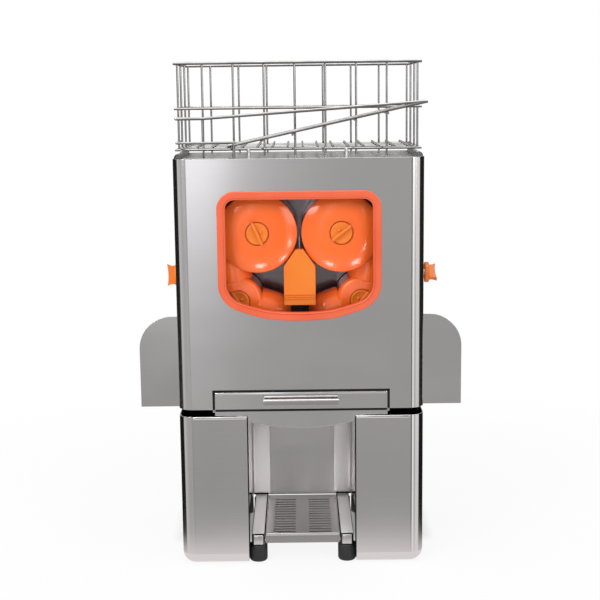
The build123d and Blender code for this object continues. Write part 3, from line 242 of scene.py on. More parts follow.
def bright_wire(name):
    """Polished wire, its colour darkened on the underside and the flanks: painted shade and painted dark
    reflections.
    """
    made, tree, shader, place = new_finish(name)
    drift = grain(tree, place, WIRE_DRIFT, 3.0, 0.5)
    turned = tree.nodes.new("ShaderNodeNewGeometry")
    axes = tree.nodes.new("ShaderNodeSeparateXYZ")
    tree.links.new(turned.outputs["Normal"], axes.inputs["Vector"])
    # Painted shade: a dark tone on the wire's underside and flanks, for its own shadow and the dark sides it
    # reflects
    under = spread(tree, axes.outputs["Z"], 1.0, 0.0, -0.45, 0.05)
    painted_flank_shade = spread(tree, counted(tree, "ABSOLUTE", axes.outputs["X"]), 0.0, 0.7, 0.60, 0.90)
    painted_wire_shade = counted(tree, "MAXIMUM", under, painted_flank_shade)
    tone = blended(tree, painted_wire_shade, tinted(tree, drift, CHROME_DULL, CHROME), CHROME_PAINTED_SHADE)
    shader.inputs["Metallic"].default_value = 1.0
    tree.links.new(tone, shader.inputs["Base Color"])
    tree.links.new(spread(tree, drift, 0.08, 0.13), shader.inputs["Roughness"])
    return made


def clear_pane(name):
    """The window's clear sheet, with a few wiped streaks."""
    made, tree, shader, place = new_finish(name)
    wiped = grain(tree, place, WIPED_STREAKS, 3.0, 0.5)
    shader.inputs["Base Color"].default_value = CLEAR
    shader.inputs["Alpha"].default_value = CLEAR_COVERAGE
    tree.links.new(spread(tree, wiped, 0.02, 0.08), shader.inputs["Roughness"])
    return made


sheet_steel = brushed_steel("sheet_steel_brushed_across", BRUSHED_ACROSS)
side_steel = brushed_steel("sheet_steel_brushed_along_the_depth", BRUSHED_ALONG_THE_DEPTH, (0.28, 0.36))
flat_steel = brushed_steel("sheet_steel_level", BRUSHED_LEVEL, (0.24, 0.34), 0.0)
bin_steel = brushed_steel(
    "sheet_steel_bright", BRUSHED_ACROSS, (0.06, 0.08), 0.5, (BIN_STEEL_SMUDGE, BIN_STEEL)
)
tray_steel = brushed_steel("sheet_steel_tray", BRUSHED_ACROSS, tones=(TRAY_STEEL_SMUDGE, TRAY_STEEL))
satin_steel = brushed_steel("sheet_steel_satin", BRUSHED_ALONG_THE_DEPTH, (0.30, 0.38), 0.3, metal=0.6)
shaded_steel = brushed_steel(
    "sheet_steel_shaded", BRUSHED_ACROSS, (0.12, 0.20), 0.5, (SHADED_STEEL_SMUDGE, SHADED_STEEL)
)
wing_steel = brushed_steel("sheet_steel_wing", BRUSHED_ACROSS, tones=(WING_STEEL_SMUDGE, WING_STEEL))
wire_chrome = bright_wire("polished_wire")
press_plastic = moulded_plastic("press_orange_plastic", PRESS_ORANGE, PRESS_ORANGE_PALE, (0.13, 0.17))
amber_plastic = moulded_plastic("knob_amber_plastic", AMBER, AMBER_PALE, (0.28, 0.36))
gasket_rubber = moulded_plastic("window_coral_gasket", CORAL, CORAL_PALE, (0.36, 0.46))
foot_rubber = moulded_plastic("foot_rubber", RUBBER_AND_GAP_SHADE, RUBBER_DUSTY, (0.45, 0.60), 1500.0, 0.00006)
# Black strips that are painted shade in the gaps between parts
painted_gap_shade = moulded_plastic("painted_gap_shade", RUBBER_AND_GAP_SHADE, RUBBER_DUSTY, (0.7, 0.85), 1500.0, 0.00006)
painted_gap_shade.node_tree.nodes["Principled BSDF"].inputs["Specular IOR Level"].default_value = GAP_SHADE_SHINE
black_plastic = moulded_plastic("black_fitting_plastic", BLACK, BLACK_PALE, (0.35, 0.5), 1800.0, 0.00006)
motor_paint = moulded_plastic("motor_paint", MOTOR_GREY, MOTOR_GREY_PALE, (0.4, 0.55), 500.0, 0.00010)
mark_paint = moulded_plastic("switch_mark_paint", MARK_WHITE, MARK_WHITE_WORN, (0.45, 0.6))
gear_steel = plain_metal("gear_steel", DARK_STEEL, DARK_STEEL_OILED, (0.28, 0.42), (600.0, 40.0, 600.0))
bush_bronze = plain_metal("bush_bronze", BRONZE_WORN, BRONZE, (0.25, 0.40), (700.0, 40.0, 700.0))
screw_steel = plain_metal("screw_steel", CHROME, CHROME_DULL, (0.22, 0.34), (500.0, 500.0, 500.0))
window_clear = clear_pane("window_clear_sheet")

SLOT_FINISH = {
    "stainless": sheet_steel,
    "wire": wire_chrome,
    "press": press_plastic,
    "amber": amber_plastic,
    "gasket": gasket_rubber,
    "clear": window_clear,
    "rubber": foot_rubber,
    "steel_dark": gear_steel,
    "bronze": bush_bronze,
    "motor_paint": motor_paint,
    "black_plastic": black_plastic,
}
NODE_FINISH = {
    "side_panel_left": side_steel,
    "side_panel_right": side_steel,
    "top_tray": flat_steel,
    "base_plate": flat_steel,
    "overhang_panel": flat_steel,
    "drip_grate": flat_steel,
    "left_peel_bin": bin_steel,
    "right_peel_bin": bin_steel,
    "chamber_back_plate": shaded_steel,
    "bay_back_panel": satin_steel,
    "base_frame": satin_steel,
    "wing_left": wing_steel,
    "drip_tray": tray_steel,
    "drawer_handle": wing_steel,
}
node_slot = {part["node"]: part["material_slot"] for part in frame["record"]["subparts"]}


def finish_of(node):
    return NODE_FINISH.get(node) or SLOT_FINISH[node_slot[node]]


for name, node in nodes.items():
    node.data.materials.clear()
    node.data.materials.append(finish_of(name))


# Pieces

def piece(shape, name, body, material, sharp=30.0):
    """Makes a shape an object that rides on a body, with the finish it is given."""
    mesh = bpy.data.meshes.new(name)
    shape.to_mesh(mesh)
    shape.free()
    mesh.shade_smooth()
    mesh.set_sharp_from_angle(angle=radians(sharp))
    mesh.materials.append(material)
    made = bpy.data.objects.new(name, mesh)
    bpy.context.scene.collection.objects.link(made)
    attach(made, body)
    return made


def body_of(node):
    return nodes[node]["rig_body"]


def middle_of(node):
    low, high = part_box(node)
    return (low + high) / 2


def facing(direction, place):
    """A matrix that stands a shape's Z along a direction at a place."""
    return Matrix.Translation(place) @ Vector(direction).to_track_quat("Z", "Y").to_matrix().to_4x4()


def lathe(shape, profile, matrix, steps=48):
    """Spins a profile of radius and height in mm about Z and puts the ring in place."""
    before = set(shape.verts)
    points = [shape.verts.new((radius * MM, 0.0, height * MM)) for radius, height in profile]
    edges = [shape.edges.new(pair) for pair in zip(points, points[1:])]
    bmesh.ops.spin(
        shape, geom=points + edges, cent=(0.0, 0.0, 0.0), axis=UPWARDS, angle=2 * pi, steps=steps,
        use_merge=True,
    )
    bmesh.ops.remove_doubles(shape, verts=list(set(shape.verts) - before), dist=MERGE_DISTANCE)
    ring = list(set(shape.verts) - before)
    bmesh.ops.recalc_face_normals(shape, faces=list({f for v in ring for f in v.link_faces}))
    bmesh.ops.transform(shape, verts=ring, matrix=matrix)


def block(shape, size, matrix, edge, steps=2):
    """A block of a size in mm with rounded edges, its foot in the matrix's XY plane."""
    before = set(shape.verts)
    made = bmesh.ops.create_cube(shape, size=1.0)["verts"]
    bmesh.ops.scale(shape, verts=made, vec=Vector(size) * MM)
    bmesh.ops.translate(shape, verts=made, vec=(0.0, 0.0, size[2] / 2 * MM))
    edges = list({e for v in made for e in v.link_edges})
    bmesh.ops.bevel(
        shape, geom=edges, offset=edge * MM, offset_type="OFFSET", segments=steps, profile=0.5,
        affect="EDGES", clamp_overlap=True, material=-1,
    )
    bmesh.ops.transform(shape, verts=list(set(shape.verts) - before), matrix=matrix)


def pair_of_blocks(name, size, place, edge, steps, material, sharp):
    """Two blocks on the chassis that face ahead, at a place on the right and at its mirror image."""
    x, y, z = place
    shape = bmesh.new()
    for side in (-1, 1):
        block(shape, size, facing(AHEAD, (side * x, y, z)), edge, steps)
    piece(shape, name, "chassis", material, sharp)


# Sheets and mouldings with their edges broken, the bins' rims raised and the window's lower corners rounder
BROKEN_EDGES = {
    "front_cover": 0.5,
    "side_panel_left": 0.4,
    "side_panel_right": 0.4,
    "wing_left": 0.5,
    "wing_right": 0.5,
    "top_tray": 0.4,
    "drawer_handle": 0.5,
    "base_frame": 1.2,
    "drip_tray": 0.4,
    "peel_wedge": 1.2,
    "left_peel_bin": 0.4,
    "right_peel_bin": 0.4,
    "strainer_drawer": 0.6,
    "collecting_tank": 0.6,
    "left_cover_knob": 0.8,
    "right_cover_knob": 0.8,
    "window_frame": 0.0,
    "window_pane": 0.0,
}
EDGE_STEPS = 2
SHARP_EDGE = 35.0
FLAT_ENOUGH = 0.3
RAISED = ("left_peel_bin", "right_peel_bin", "collecting_tank")
BIN_RIM = 5.0
BIN_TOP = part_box("left_peel_bin")[1].z
RIM_BAND = 2.0 * MM
WINDOW_PIECES = ("front_cover", "window_frame", "window_pane")
WINDOW_LAP = 2.0 * MM
WINDOW_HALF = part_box("window_frame")[1].x + WINDOW_LAP
WINDOW_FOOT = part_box("window_frame")[0].z - WINDOW_LAP
WINDOW_MIDDLE = middle_of("window_frame").z
CORNER_RISE = 6.0 * MM
CORNER_START = 45.0 * MM
CORNER_SPAN = 75.0 * MM


def raise_rim(shape):
    """Lifts the ends of the sheets that stop at the height of the bins' rims."""
    rim = [v for v in shape.verts if abs(v.co.z - BIN_TOP) < RIM_BAND]
    bmesh.ops.translate(shape, verts=rim, vec=(0.0, 0.0, BIN_RIM * MM))


def round_window(shape):
    """Lifts the window's lower edge towards its corners, for a rounder curve."""
    for vert in shape.verts:
        across = abs(vert.co.x)
        if across < WINDOW_HALF and WINDOW_FOOT < vert.co.z < WINDOW_MIDDLE:
            share = min(1.0, max(0.0, (across - CORNER_START) / CORNER_SPAN))
            vert.co.z += CORNER_RISE * share * share * (3.0 - 2.0 * share)


def softened(node, edge):
    """A copy of a node with its sharp edges broken, which stands for the node."""
    shape = bmesh.new()
    shape.from_mesh(nodes[node].data)
    bmesh.ops.remove_doubles(shape, verts=shape.verts, dist=MERGE_DISTANCE)
    if node in RAISED:
        raise_rim(shape)
    if node in WINDOW_PIECES:
        round_window(shape)
    bmesh.ops.dissolve_limit(shape, angle_limit=radians(FLAT_ENOUGH), verts=shape.verts, edges=shape.edges)
    if edge:
        corners = [
            e for e in shape.edges if len(e.link_faces) == 2 and e.calc_face_angle(0.0) > radians(SHARP_EDGE)
        ]
        bmesh.ops.bevel(
            shape, geom=corners, offset=edge * MM, offset_type="OFFSET", segments=EDGE_STEPS, profile=0.5,
            affect="EDGES", clamp_overlap=False, material=-1,
        )
    made = piece(shape, node + "_dressed", body_of(node), finish_of(node), 50.0)
    weighted = made.modifiers.new("flat_faces_stay_flat", "WEIGHTED_NORMAL")
    weighted.keep_sharp = True
    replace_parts(made, node)


for node, edge in BROKEN_EDGES.items():
    softened(node, edge)

# Lock knobs: a dished disc with a narrow raised bar and a small boss
KNOB_TURNS = {"upper_left": -66.0, "upper_right": 38.0, "lower_left": -55.0, "lower_right": 50.0}
KNOB_RADIUS = 18.5
KNOB_FLANGE = 8.0
KNOB_BAR = (40.0, 5.6, 6.5)
KNOB_BAR_ROUND = 1.6
KNOB_BAR_SEAT = 6.0 * MM
KNOB_BOSS_OFFSET = 6.4 * MM
KNOB_DISC = (
    (0.0, 6.6), (9.0, 6.7), (13.8, 7.2), (16.0, KNOB_FLANGE), (17.3, 7.8), (18.1, 7.1), (KNOB_RADIUS, 6.2),
    (KNOB_RADIUS, 0.6), (17.9, 0.0), (6.0, 0.0), (5.6, 0.0),
)
KNOB_BOSS = ((0.0, 9.6), (1.6, 9.4), (2.6, 8.6), (3.0, 7.0))

for drum in DRUMS:
    node = f"{drum}_lock_knob"
    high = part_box(node)[1]
    middle = middle_of(f"{drum}_shaft")
    slant = Matrix.Rotation(radians(-KNOB_TURNS[drum]), 4, "Y")
    shape = bmesh.new()
    lathe(shape, KNOB_DISC, facing(AHEAD, (middle.x, high.y, middle.z)))
    bar_seat = Matrix.Translation((middle.x, high.y - KNOB_BAR_SEAT, middle.z)) @ slant
    block(shape, KNOB_BAR, bar_seat @ facing(AHEAD, (0.0, 0.0, 0.0)), KNOB_BAR_ROUND, 3)
    lathe(shape, KNOB_BOSS, bar_seat @ facing(AHEAD, (0.0, KNOB_BAR_SEAT, KNOB_BOSS_OFFSET)), 20)
    made = piece(shape, f"{drum}_knob_moulding", body_of(node), amber_plastic, 35.0)
    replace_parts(made, node)


# Rubber feet

def islands(node):
    """The boxes of a node's separate solids, from left to right and front to back."""
    shape = bmesh.new()
    shape.from_mesh(nodes[node].data)
    bmesh.ops.remove_doubles(shape, verts=shape.verts, dist=MERGE_DISTANCE)
    left = set(shape.verts)
    boxes = []
    while left:
        grown = [left.pop()]
        for vert in grown:
            for edge in vert.link_edges:
                other = edge.other_vert(vert)
                if other in left:
                    left.discard(other)
                    grown.append(other)
        low = Vector(min(v.co[i] for v in grown) for i in range(3))
        high = Vector(max(v.co[i] for v in grown) for i in range(3))
        boxes.append((low, high))
    shape.free()
    return sorted(boxes, key=lambda box: (round(box[0].x, 4), round(box[0].y, 4)))


FOOT_RADIUS = 15.5
FOOT_HEIGHT = 30.0
FOOT = (
    (0.0, 0.0), (11.9, 0.0), (13.4, 0.5), (14.6, 1.5), (15.2, 2.8), (FOOT_RADIUS, 4.4), (FOOT_RADIUS, 28.4),
    (15.1, 29.4), (14.2, FOOT_HEIGHT), (0.0, FOOT_HEIGHT),
)
feet = islands("rubber_feet")
shape = bmesh.new()
for low, high in feet:
    lathe(shape, FOOT, Matrix.Translation(((low.x + high.x) / 2, (low.y + high.y) / 2, 0.0)), 36)
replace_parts(piece(shape, "feet_moulding", "chassis", foot_rubber, 40.0), "rubber_feet")

# Black strips in the gaps round the drawer: painted shade of those gaps
cover_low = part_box("front_cover")[0]
drawer_low, drawer_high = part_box("strainer_drawer")
tank_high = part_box("collecting_tank")[1]
NOTCH_GAP = 2.5 * MM
EDGING = 3.3
EDGING_LAP = 1.2
EDGING_DEPTH = 4.6
EDGING_PROUD = 0.5
EDGING_ROUND = 0.4
SILL_EDGING = 2.8
SILL_END_GAP = 1.0
edging_rear = cover_low.y + (EDGING_DEPTH - EDGING_PROUD) * MM
edging_shift = (EDGING_LAP - EDGING / 2) * MM
notch_half = drawer_high.x + NOTCH_GAP
notch_top = drawer_high.z + NOTCH_GAP
post = (notch_top - cover_low.z) / MM

shape = bmesh.new()
lintel = (2 * (notch_half / MM + EDGING_LAP), EDGING, EDGING_DEPTH)
block(shape, lintel, facing(AHEAD, (0.0, edging_rear, notch_top + edging_shift)), EDGING_ROUND)
for side in (-1, 1):
    place = (side * (notch_half + edging_shift), edging_rear, cover_low.z + post / 2 * MM)
    block(shape, (EDGING, post, EDGING_DEPTH), facing(AHEAD, place), EDGING_ROUND)
piece(shape, "notch_gap_shade", "cover", painted_gap_shade)

shape = bmesh.new()
sill = (2 * (drawer_high.x / MM - SILL_END_GAP), SILL_EDGING, EDGING_DEPTH)
place = (0.0, edging_rear, tank_high.z + (SILL_EDGING / 2 - EDGING_LAP) * MM)
block(shape, sill, facing(AHEAD, place), EDGING_ROUND)
piece(shape, "sill_gap_shade", "tank", painted_gap_shade)

# Folded head of the handle's flange with a black strip under it, which is painted shade, and the rolled edges
# of the drawer, the bins and the tray
ROLL = (4.8, 4.4)
ROLL_PROUD = 1.0
DRAWER_ROLL_ROUND = 2.2
SHEET_ROLL_ROUND = 1.3
HANDLE_END_GAP = 1.2
HANDLE_HEAD = (3.2, 3.0)
HANDLE_HEAD_DROP = 3.2 * MM
HANDLE_HEAD_ROUND = 1.4
HANDLE_GAP_SHADE = (1.9, 2.4)
HANDLE_GAP_SHADE_ROUND = 0.5
BIN_CORNER = 24.0 * MM
TRAY_END_GAP = 1.0 * MM


def rolled_edge(name, body, low_x, high_x, front, top, round_edge, material):
    """A rounded bead along the top of a sheet front."""
    shape = bmesh.new()
    place = ((low_x + high_x) / 2, front + (ROLL[1] - ROLL_PROUD) * MM, top - ROLL[0] / 2 * MM)
    block(shape, ((high_x - low_x) / MM, *ROLL), facing(AHEAD, place), round_edge, 4)
    piece(shape, name, body, material, 60.0)


rolled_edge(
    "drawer_rolled_edge", "strainer", drawer_low.x, drawer_high.x, drawer_low.y, drawer_high.z,
    DRAWER_ROLL_ROUND, sheet_steel,
)
handle_low, handle_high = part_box("drawer_handle")
handle_length = (handle_high.x - handle_low.x) / MM - 2 * HANDLE_END_GAP
head_z = handle_high.z - HANDLE_HEAD_DROP - HANDLE_HEAD[0] / 2 * MM
gap_shade_z = head_z - (HANDLE_HEAD[0] + HANDLE_GAP_SHADE[0]) / 2 * MM
shape = bmesh.new()
head_seat = facing(AHEAD, (0.0, drawer_low.y, head_z))
block(shape, (handle_length, *HANDLE_HEAD), head_seat, HANDLE_HEAD_ROUND, 4)
piece(shape, "handle_head", "strainer", flat_steel, 60.0)
# The black strip under the head is painted shade in the fold of the handle
shape = bmesh.new()
gap_shade_seat = facing(AHEAD, (0.0, drawer_low.y, gap_shade_z))
block(shape, (handle_length, *HANDLE_GAP_SHADE), gap_shade_seat, HANDLE_GAP_SHADE_ROUND)
piece(shape, "handle_gap_shade", "strainer", painted_gap_shade)
for side, word in SIDES:
    low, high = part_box(f"{word}_peel_bin")
    near, far = (low.x, high.x - BIN_CORNER) if side > 0 else (low.x + BIN_CORNER, high.x)
    rolled_edge(
        f"{word}_bin_rolled_edge", f"{word}_bin", near, far, low.y, high.z + BIN_RIM * MM, SHEET_ROLL_ROUND,
        bin_steel,
    )
tray_low, tray_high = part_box("drip_tray")
rolled_edge(
    "tray_rolled_edge", "tray", tray_low.x + TRAY_END_GAP, tray_high.x - TRAY_END_GAP, tray_low.y, tray_high.z,
    SHEET_ROLL_ROUND, flat_steel,
)

# Side plates at the back of the bay, and black strips where they meet the rails: painted shade along that
# joint
bay_low, bay_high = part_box("bay_back_panel")
bay_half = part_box("right_peel_bin")[0].x
BAY_PLATE_SHORTER = 4.0
BAY_PLATE = (31.0, (bay_high.z - bay_low.z) / MM - BAY_PLATE_SHORTER, 2.4)
BAY_PLATE_ROUND = 0.9
BAY_PLATE_GAP = 1.0 * MM
BAY_STRIP = (27.0, 2.6, 3.0)
BAY_STRIP_ROUND = 0.6
BAY_STRIP_AHEAD = 2.0 * MM
BAY_STRIP_RISE = 1.5 * MM
bay_edge = bay_half - BAY_PLATE_GAP
pair_of_blocks(
    "bay_side_plates", BAY_PLATE, (bay_edge - BAY_PLATE[0] / 2 * MM, bay_low.y, (bay_low.z + bay_high.z) / 2),
    BAY_PLATE_ROUND, 2, satin_steel, 50.0,
)
pair_of_blocks(
    "bay_gap_shade_strips", BAY_STRIP,
    (bay_edge - BAY_STRIP[0] / 2 * MM, bay_low.y - BAY_STRIP_AHEAD, bay_low.z + BAY_STRIP_RISE),
    BAY_STRIP_ROUND, 2, painted_gap_shade, 30.0,
)

# Plugs in the front ends of the base rails, and black rims behind them: painted shade of the gap round each
# plug
PLUG_RIM_WIDER = 0.6
PLUG_NARROWER = 2.6
rails_low, rails_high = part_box("base_frame")
rail_width = rails_high.z - rails_low.z
rail_x = max(high.x for low, high in feet) - FOOT_RADIUS * MM
rail_z = (rails_low.z + rails_high.z) / 2
for name, across, proud, edge, slot, material in (
    ("rail_plug_rims", rail_width / MM + PLUG_RIM_WIDER, 0.9, 0.3, "rubber", painted_gap_shade),
    ("rail_plugs", rail_width / MM - PLUG_NARROWER, 4.0, 1.8, "stainless", sheet_steel),
):
    pair_of_blocks(
        name, (across, across, proud), (rail_x, rails_low.y, rail_z), edge, 4, material, 50.0,
    )

# Black strips along both sides of the rails: painted shade between the rails and the bins
RAIL_END_GAP = 2.0
RAIL_STRIP_NARROWER = 1.6
rail_length = (rails_high.y - rails_low.y) / MM - 2 * RAIL_END_GAP
RAIL_STRIP = (1.2, rail_width / MM - RAIL_STRIP_NARROWER, rail_length)
RAIL_STRIP_OUT = 0.5 * MM
RAIL_STRIP_ROUND = 0.4
shape = bmesh.new()
for side in (-1, 1):
    for face in (-1, 1):
        x = side * rail_x + face * (rail_width / 2 + RAIL_STRIP_OUT)
        seat = facing(AHEAD, (x, rails_high.y - RAIL_END_GAP * MM, rail_z))
        block(shape, RAIL_STRIP, seat, RAIL_STRIP_ROUND)
piece(shape, "rail_gap_shade_strips", "chassis", painted_gap_shade)

# Black strips at the bins' inner front edges: painted shade and painted dark reflection in the gap between the
# bins and the bay
BIN_STRIP = (0.9, 30.0)
BIN_STRIP_SHORTER = 30.0
BIN_STRIP_SETBACK = 1.5
BIN_STRIP_DROP = 5.0
BIN_STRIP_ROUND = 0.3
for side, word in SIDES:
    low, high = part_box(f"{word}_peel_bin")
    tall = (high.z - low.z) / MM - BIN_STRIP_SHORTER
    place = (
        side * bay_half - side * BIN_STRIP[0] / 2 * MM,
        low.y + (BIN_STRIP[1] + BIN_STRIP_SETBACK) * MM,
        high.z - (tall / 2 + BIN_STRIP_DROP) * MM,
    )
    shape = bmesh.new()
    block(shape, (BIN_STRIP[0], tall, BIN_STRIP[1]), facing(AHEAD, place), BIN_STRIP_ROUND, 1)
    piece(shape, f"{word}_bin_gap_shade_strip", f"{word}_bin", painted_gap_shade)

# Screws that hold the housing's sheets
SCREW = ((0.0, 0.5), (1.5, 0.5), (1.5, 1.6), (2.2, 1.6), (3.1, 1.1), (3.4, 0.3), (3.4, 0.0), (0.0, 0.0))
SCREW_INSET = 10.0 * MM
SCREW_ROWS = 4


def screws(name, direction, places):
    """Round-headed screws with a hole for the key, on the chassis."""
    shape = bmesh.new()
    for place in places:
        lathe(shape, SCREW, facing(direction, place), 12)
    piece(shape, name, "chassis", screw_steel, 35.0)


back_low, back_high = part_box("back_panel")
row_span = back_high.z - back_low.z - 2 * SCREW_INSET
rows = [back_low.z + SCREW_INSET + i * row_span / (SCREW_ROWS - 1) for i in range(SCREW_ROWS)]
screws(
    "back_panel_screws", BACKWARDS,
    [(side * (back_high.x - SCREW_INSET), back_high.y, z) for side in (-1, 1) for z in rows],
)
for side, word in SIDES:
    low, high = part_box(f"side_panel_{word}")
    outer = high.x if side > 0 else low.x
    foot_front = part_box(f"{word}_peel_bin")[1].y + SCREW_INSET
    places = [(outer, high.y - SCREW_INSET, z) for z in rows]
    places.append((outer, foot_front, rows[0]))
    places += [(outer, low.y + SCREW_INSET, max(z, BIN_TOP + 2 * SCREW_INSET)) for z in rows[1:]]
    screws(f"side_panel_screws_{word}", (side, 0.0, 0.0), places)

# Pressed hoods over the louvres of the back panel
LOUVRES = 9
LOUVRE_PITCH = 16.0 * MM
LOUVRE_HALF_SPACING = 85.0 * MM
LOUVRE_MIDDLE = 330.0 * MM
LOUVRE_HOOD = (123.0, 6.0, 3.4)
HOOD_ROUND = 2.2
HOOD_RISE = 3.4 * MM
shape = bmesh.new()
for side in (-1, 1):
    for i in range(LOUVRES):
        z = back_low.z + LOUVRE_MIDDLE + (i - (LOUVRES - 1) / 2) * LOUVRE_PITCH + HOOD_RISE
        place = (side * LOUVRE_HALF_SPACING, back_high.y, z)
        block(shape, LOUVRE_HOOD, facing(BACKWARDS, place), HOOD_ROUND)
piece(shape, "louvre_hoods", "chassis", sheet_steel, 40.0)

# Marks for on and off, on the two slopes of the switch
ROCKER_RISE = 2.5
ROCKER_TIP = 11.0
ON_MARK = (0.9, 5.0, 0.3)
OFF_MARK = ((1.7, 0.0), (1.7, 0.3), (2.5, 0.3), (2.5, 0.0), (1.7, 0.0))
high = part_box("switch_rocker")[1]
middle = middle_of("switch_rocker")
mark_x = high.x - ROCKER_RISE / 2 * MM
mark_rise = ROCKER_TIP / 2 * MM
shape = bmesh.new()
upper_slope = facing((ROCKER_TIP, 0.0, -ROCKER_RISE), (mark_x, middle.y, middle.z + mark_rise))
block(shape, ON_MARK, upper_slope, 0.1, 1)
lower_slope = facing((ROCKER_TIP, 0.0, ROCKER_RISE), (mark_x, middle.y, middle.z - mark_rise))
lathe(shape, OFF_MARK, lower_slope, 24)
piece(shape, "switch_marks", body_of("switch_rocker"), mark_paint)

# Floor, in metres: where it fades to white, and how far the dark under the part reaches
WHITE = (1.0, 1.0, 1.0, 1.0)
FLOOR_TONE = (0.80, 0.80, 0.80, 1.0)
FLOOR_SIZE = 40.0
FLOOR_HEIGHT = -0.0006
FLOOR_WHITENESS = (0.88, 1.0)
FLOOR_FADE = (0.4, 1.2)
UNDER_SIDES = (0.20, 0.24)
UNDER_FRONT = (-0.045, -0.01)
UNDER_REAR = (0.14, 0.18)
UNDER_DARKNESS = 0.9


def studio_floor():
    """A pale floor that the camera sees as white, with the part's shadow kept, and dark under the part."""
    made = bpy.data.materials.new("studio_floor")
    made.use_nodes = True
    tree = made.node_tree
    tree.nodes.clear()
    place = tree.nodes.new("ShaderNodeTexCoord")
    axes = tree.nodes.new("ShaderNodeSeparateXYZ")
    tree.links.new(place.outputs["Object"], axes.inputs["Vector"])
    length = tree.nodes.new("ShaderNodeVectorMath")
    length.operation = "LENGTH"
    tree.links.new(place.outputs["Object"], length.inputs[0])
    far = spread(tree, length.outputs["Value"], *FLOOR_WHITENESS, *FLOOR_FADE)
    across = spread(tree, counted(tree, "ABSOLUTE", axes.outputs["X"]), 1.0, 0.0, *UNDER_SIDES)
    front = spread(tree, axes.outputs["Y"], 0.0, 1.0, *UNDER_FRONT)
    rear = spread(tree, axes.outputs["Y"], 1.0, 0.0, *UNDER_REAR)
    under = counted(tree, "MULTIPLY", counted(tree, "MULTIPLY", across, front), rear)
    dark = counted(tree, "MULTIPLY", under, UNDER_DARKNESS)
    lit = counted(tree, "MULTIPLY", far, counted(tree, "SUBTRACT", 1.0, dark))
    ray = tree.nodes.new("ShaderNodeLightPath")
    share = counted(tree, "MULTIPLY", ray.outputs["Is Camera Ray"], lit)
    shade = tree.nodes.new("ShaderNodeBsdfDiffuse")
    shade.inputs["Color"].default_value = FLOOR_TONE
    white = tree.nodes.new("ShaderNodeEmission")
    white.inputs["Color"].default_value = WHITE
    mix = tree.nodes.new("ShaderNodeMixShader")
    tree.links.new(share, mix.inputs["Fac"])
    tree.links.new(shade.outputs["BSDF"], mix.inputs[1])
    tree.links.new(white.outputs["Emission"], mix.inputs[2])
    out = tree.nodes.new("ShaderNodeOutputMaterial")
    tree.links.new(mix.outputs["Shader"], out.inputs["Surface"])
    return made


shape = bmesh.new()
bmesh.ops.create_grid(shape, x_segments=1, y_segments=1, size=0.5)
bmesh.ops.scale(shape, verts=shape.verts, vec=(FLOOR_SIZE, FLOOR_SIZE, 1.0))
bmesh.ops.translate(shape, verts=shape.verts, vec=(0.0, 0.0, FLOOR_HEIGHT))
floor_mesh = bpy.data.meshes.new("floor")
shape.to_mesh(floor_mesh)
shape.free()
floor_mesh.materials.append(studio_floor())
floor = bpy.data.objects.new("floor", floor_mesh)
bpy.context.scene.collection.objects.link(floor)
floor.visible_glossy = False


# Lamps

def soft_lamp(name, place, target, size, watts):
    """A square soft box."""
    data = bpy.data.lights.new(name, "AREA")
    data.shape = "SQUARE"
    data.size = size
    data.energy = watts
    lamp = bpy.data.objects.new(name, data)
    lamp.location = place
    lamp.rotation_euler = (Vector(target) - Vector(place)).to_track_quat("-Z", "Y").to_euler()
    lamp.visible_camera = False
    bpy.context.scene.collection.objects.link(lamp)
    return lamp


for name, place, target, size, watts in (
    ("key_lamp", (-1.7, -2.4, 2.1), (0.0, 0.0, 0.45), 1.4, 52.0),
    ("fill_lamp", (1.9, -2.2, 1.5), (0.0, 0.0, 0.40), 1.6, 21.0),
    ("top_lamp", (0.0, -0.2, 2.6), (0.0, 0.0, 0.0), 1.6, 22.0),
):
    soft_lamp(name, place, target, size, watts)

# Small lamps that only the press and the rails take light from
press_group = bpy.data.collections.new("press_group")
plunger_group = bpy.data.collections.new("plunger_group")
rail_group = bpy.data.collections.new("rail_group")
for name in ("base_frame_dressed", "bay_side_plates"):
    rail_group.objects.link(bpy.data.objects[name])
for side, word in SIDES:
    press_group.objects.link(nodes[f"upper_{word}_cup_drum"])
    press_group.objects.link(nodes[f"lower_{word}_plunger_drum"])
    plunger_group.objects.link(nodes[f"lower_{word}_plunger_drum"])
for name, place, target, size, watts, group in (
    ("press_lamp_low", (-0.057, -0.576, 0.119), (-0.065, -0.124, 0.513), 0.10, 0.45, press_group),
    ("press_lamp_low_right", (0.252, -0.573, 0.154), (0.093, -0.124, 0.518), 0.10, 0.45, press_group),
    ("press_lamp_right", (0.340, -0.651, 0.368), (0.112, -0.126, 0.546), 0.10, 0.30, press_group),
    ("rail_lamp", (0.16, -0.62, 0.40), (-0.08, 0.0, 0.08), 0.25, 8.0, rail_group),
    ("plunger_lamp", (0.0, -1.6, 0.35), (0.0, -0.12, 0.48), 0.5, 7.5, plunger_group),
):
    lamp = soft_lamp(name, place, target, size, watts)
    lamp.light_linking.receiver_collection = group
    lamp.visible_glossy = group is press_group

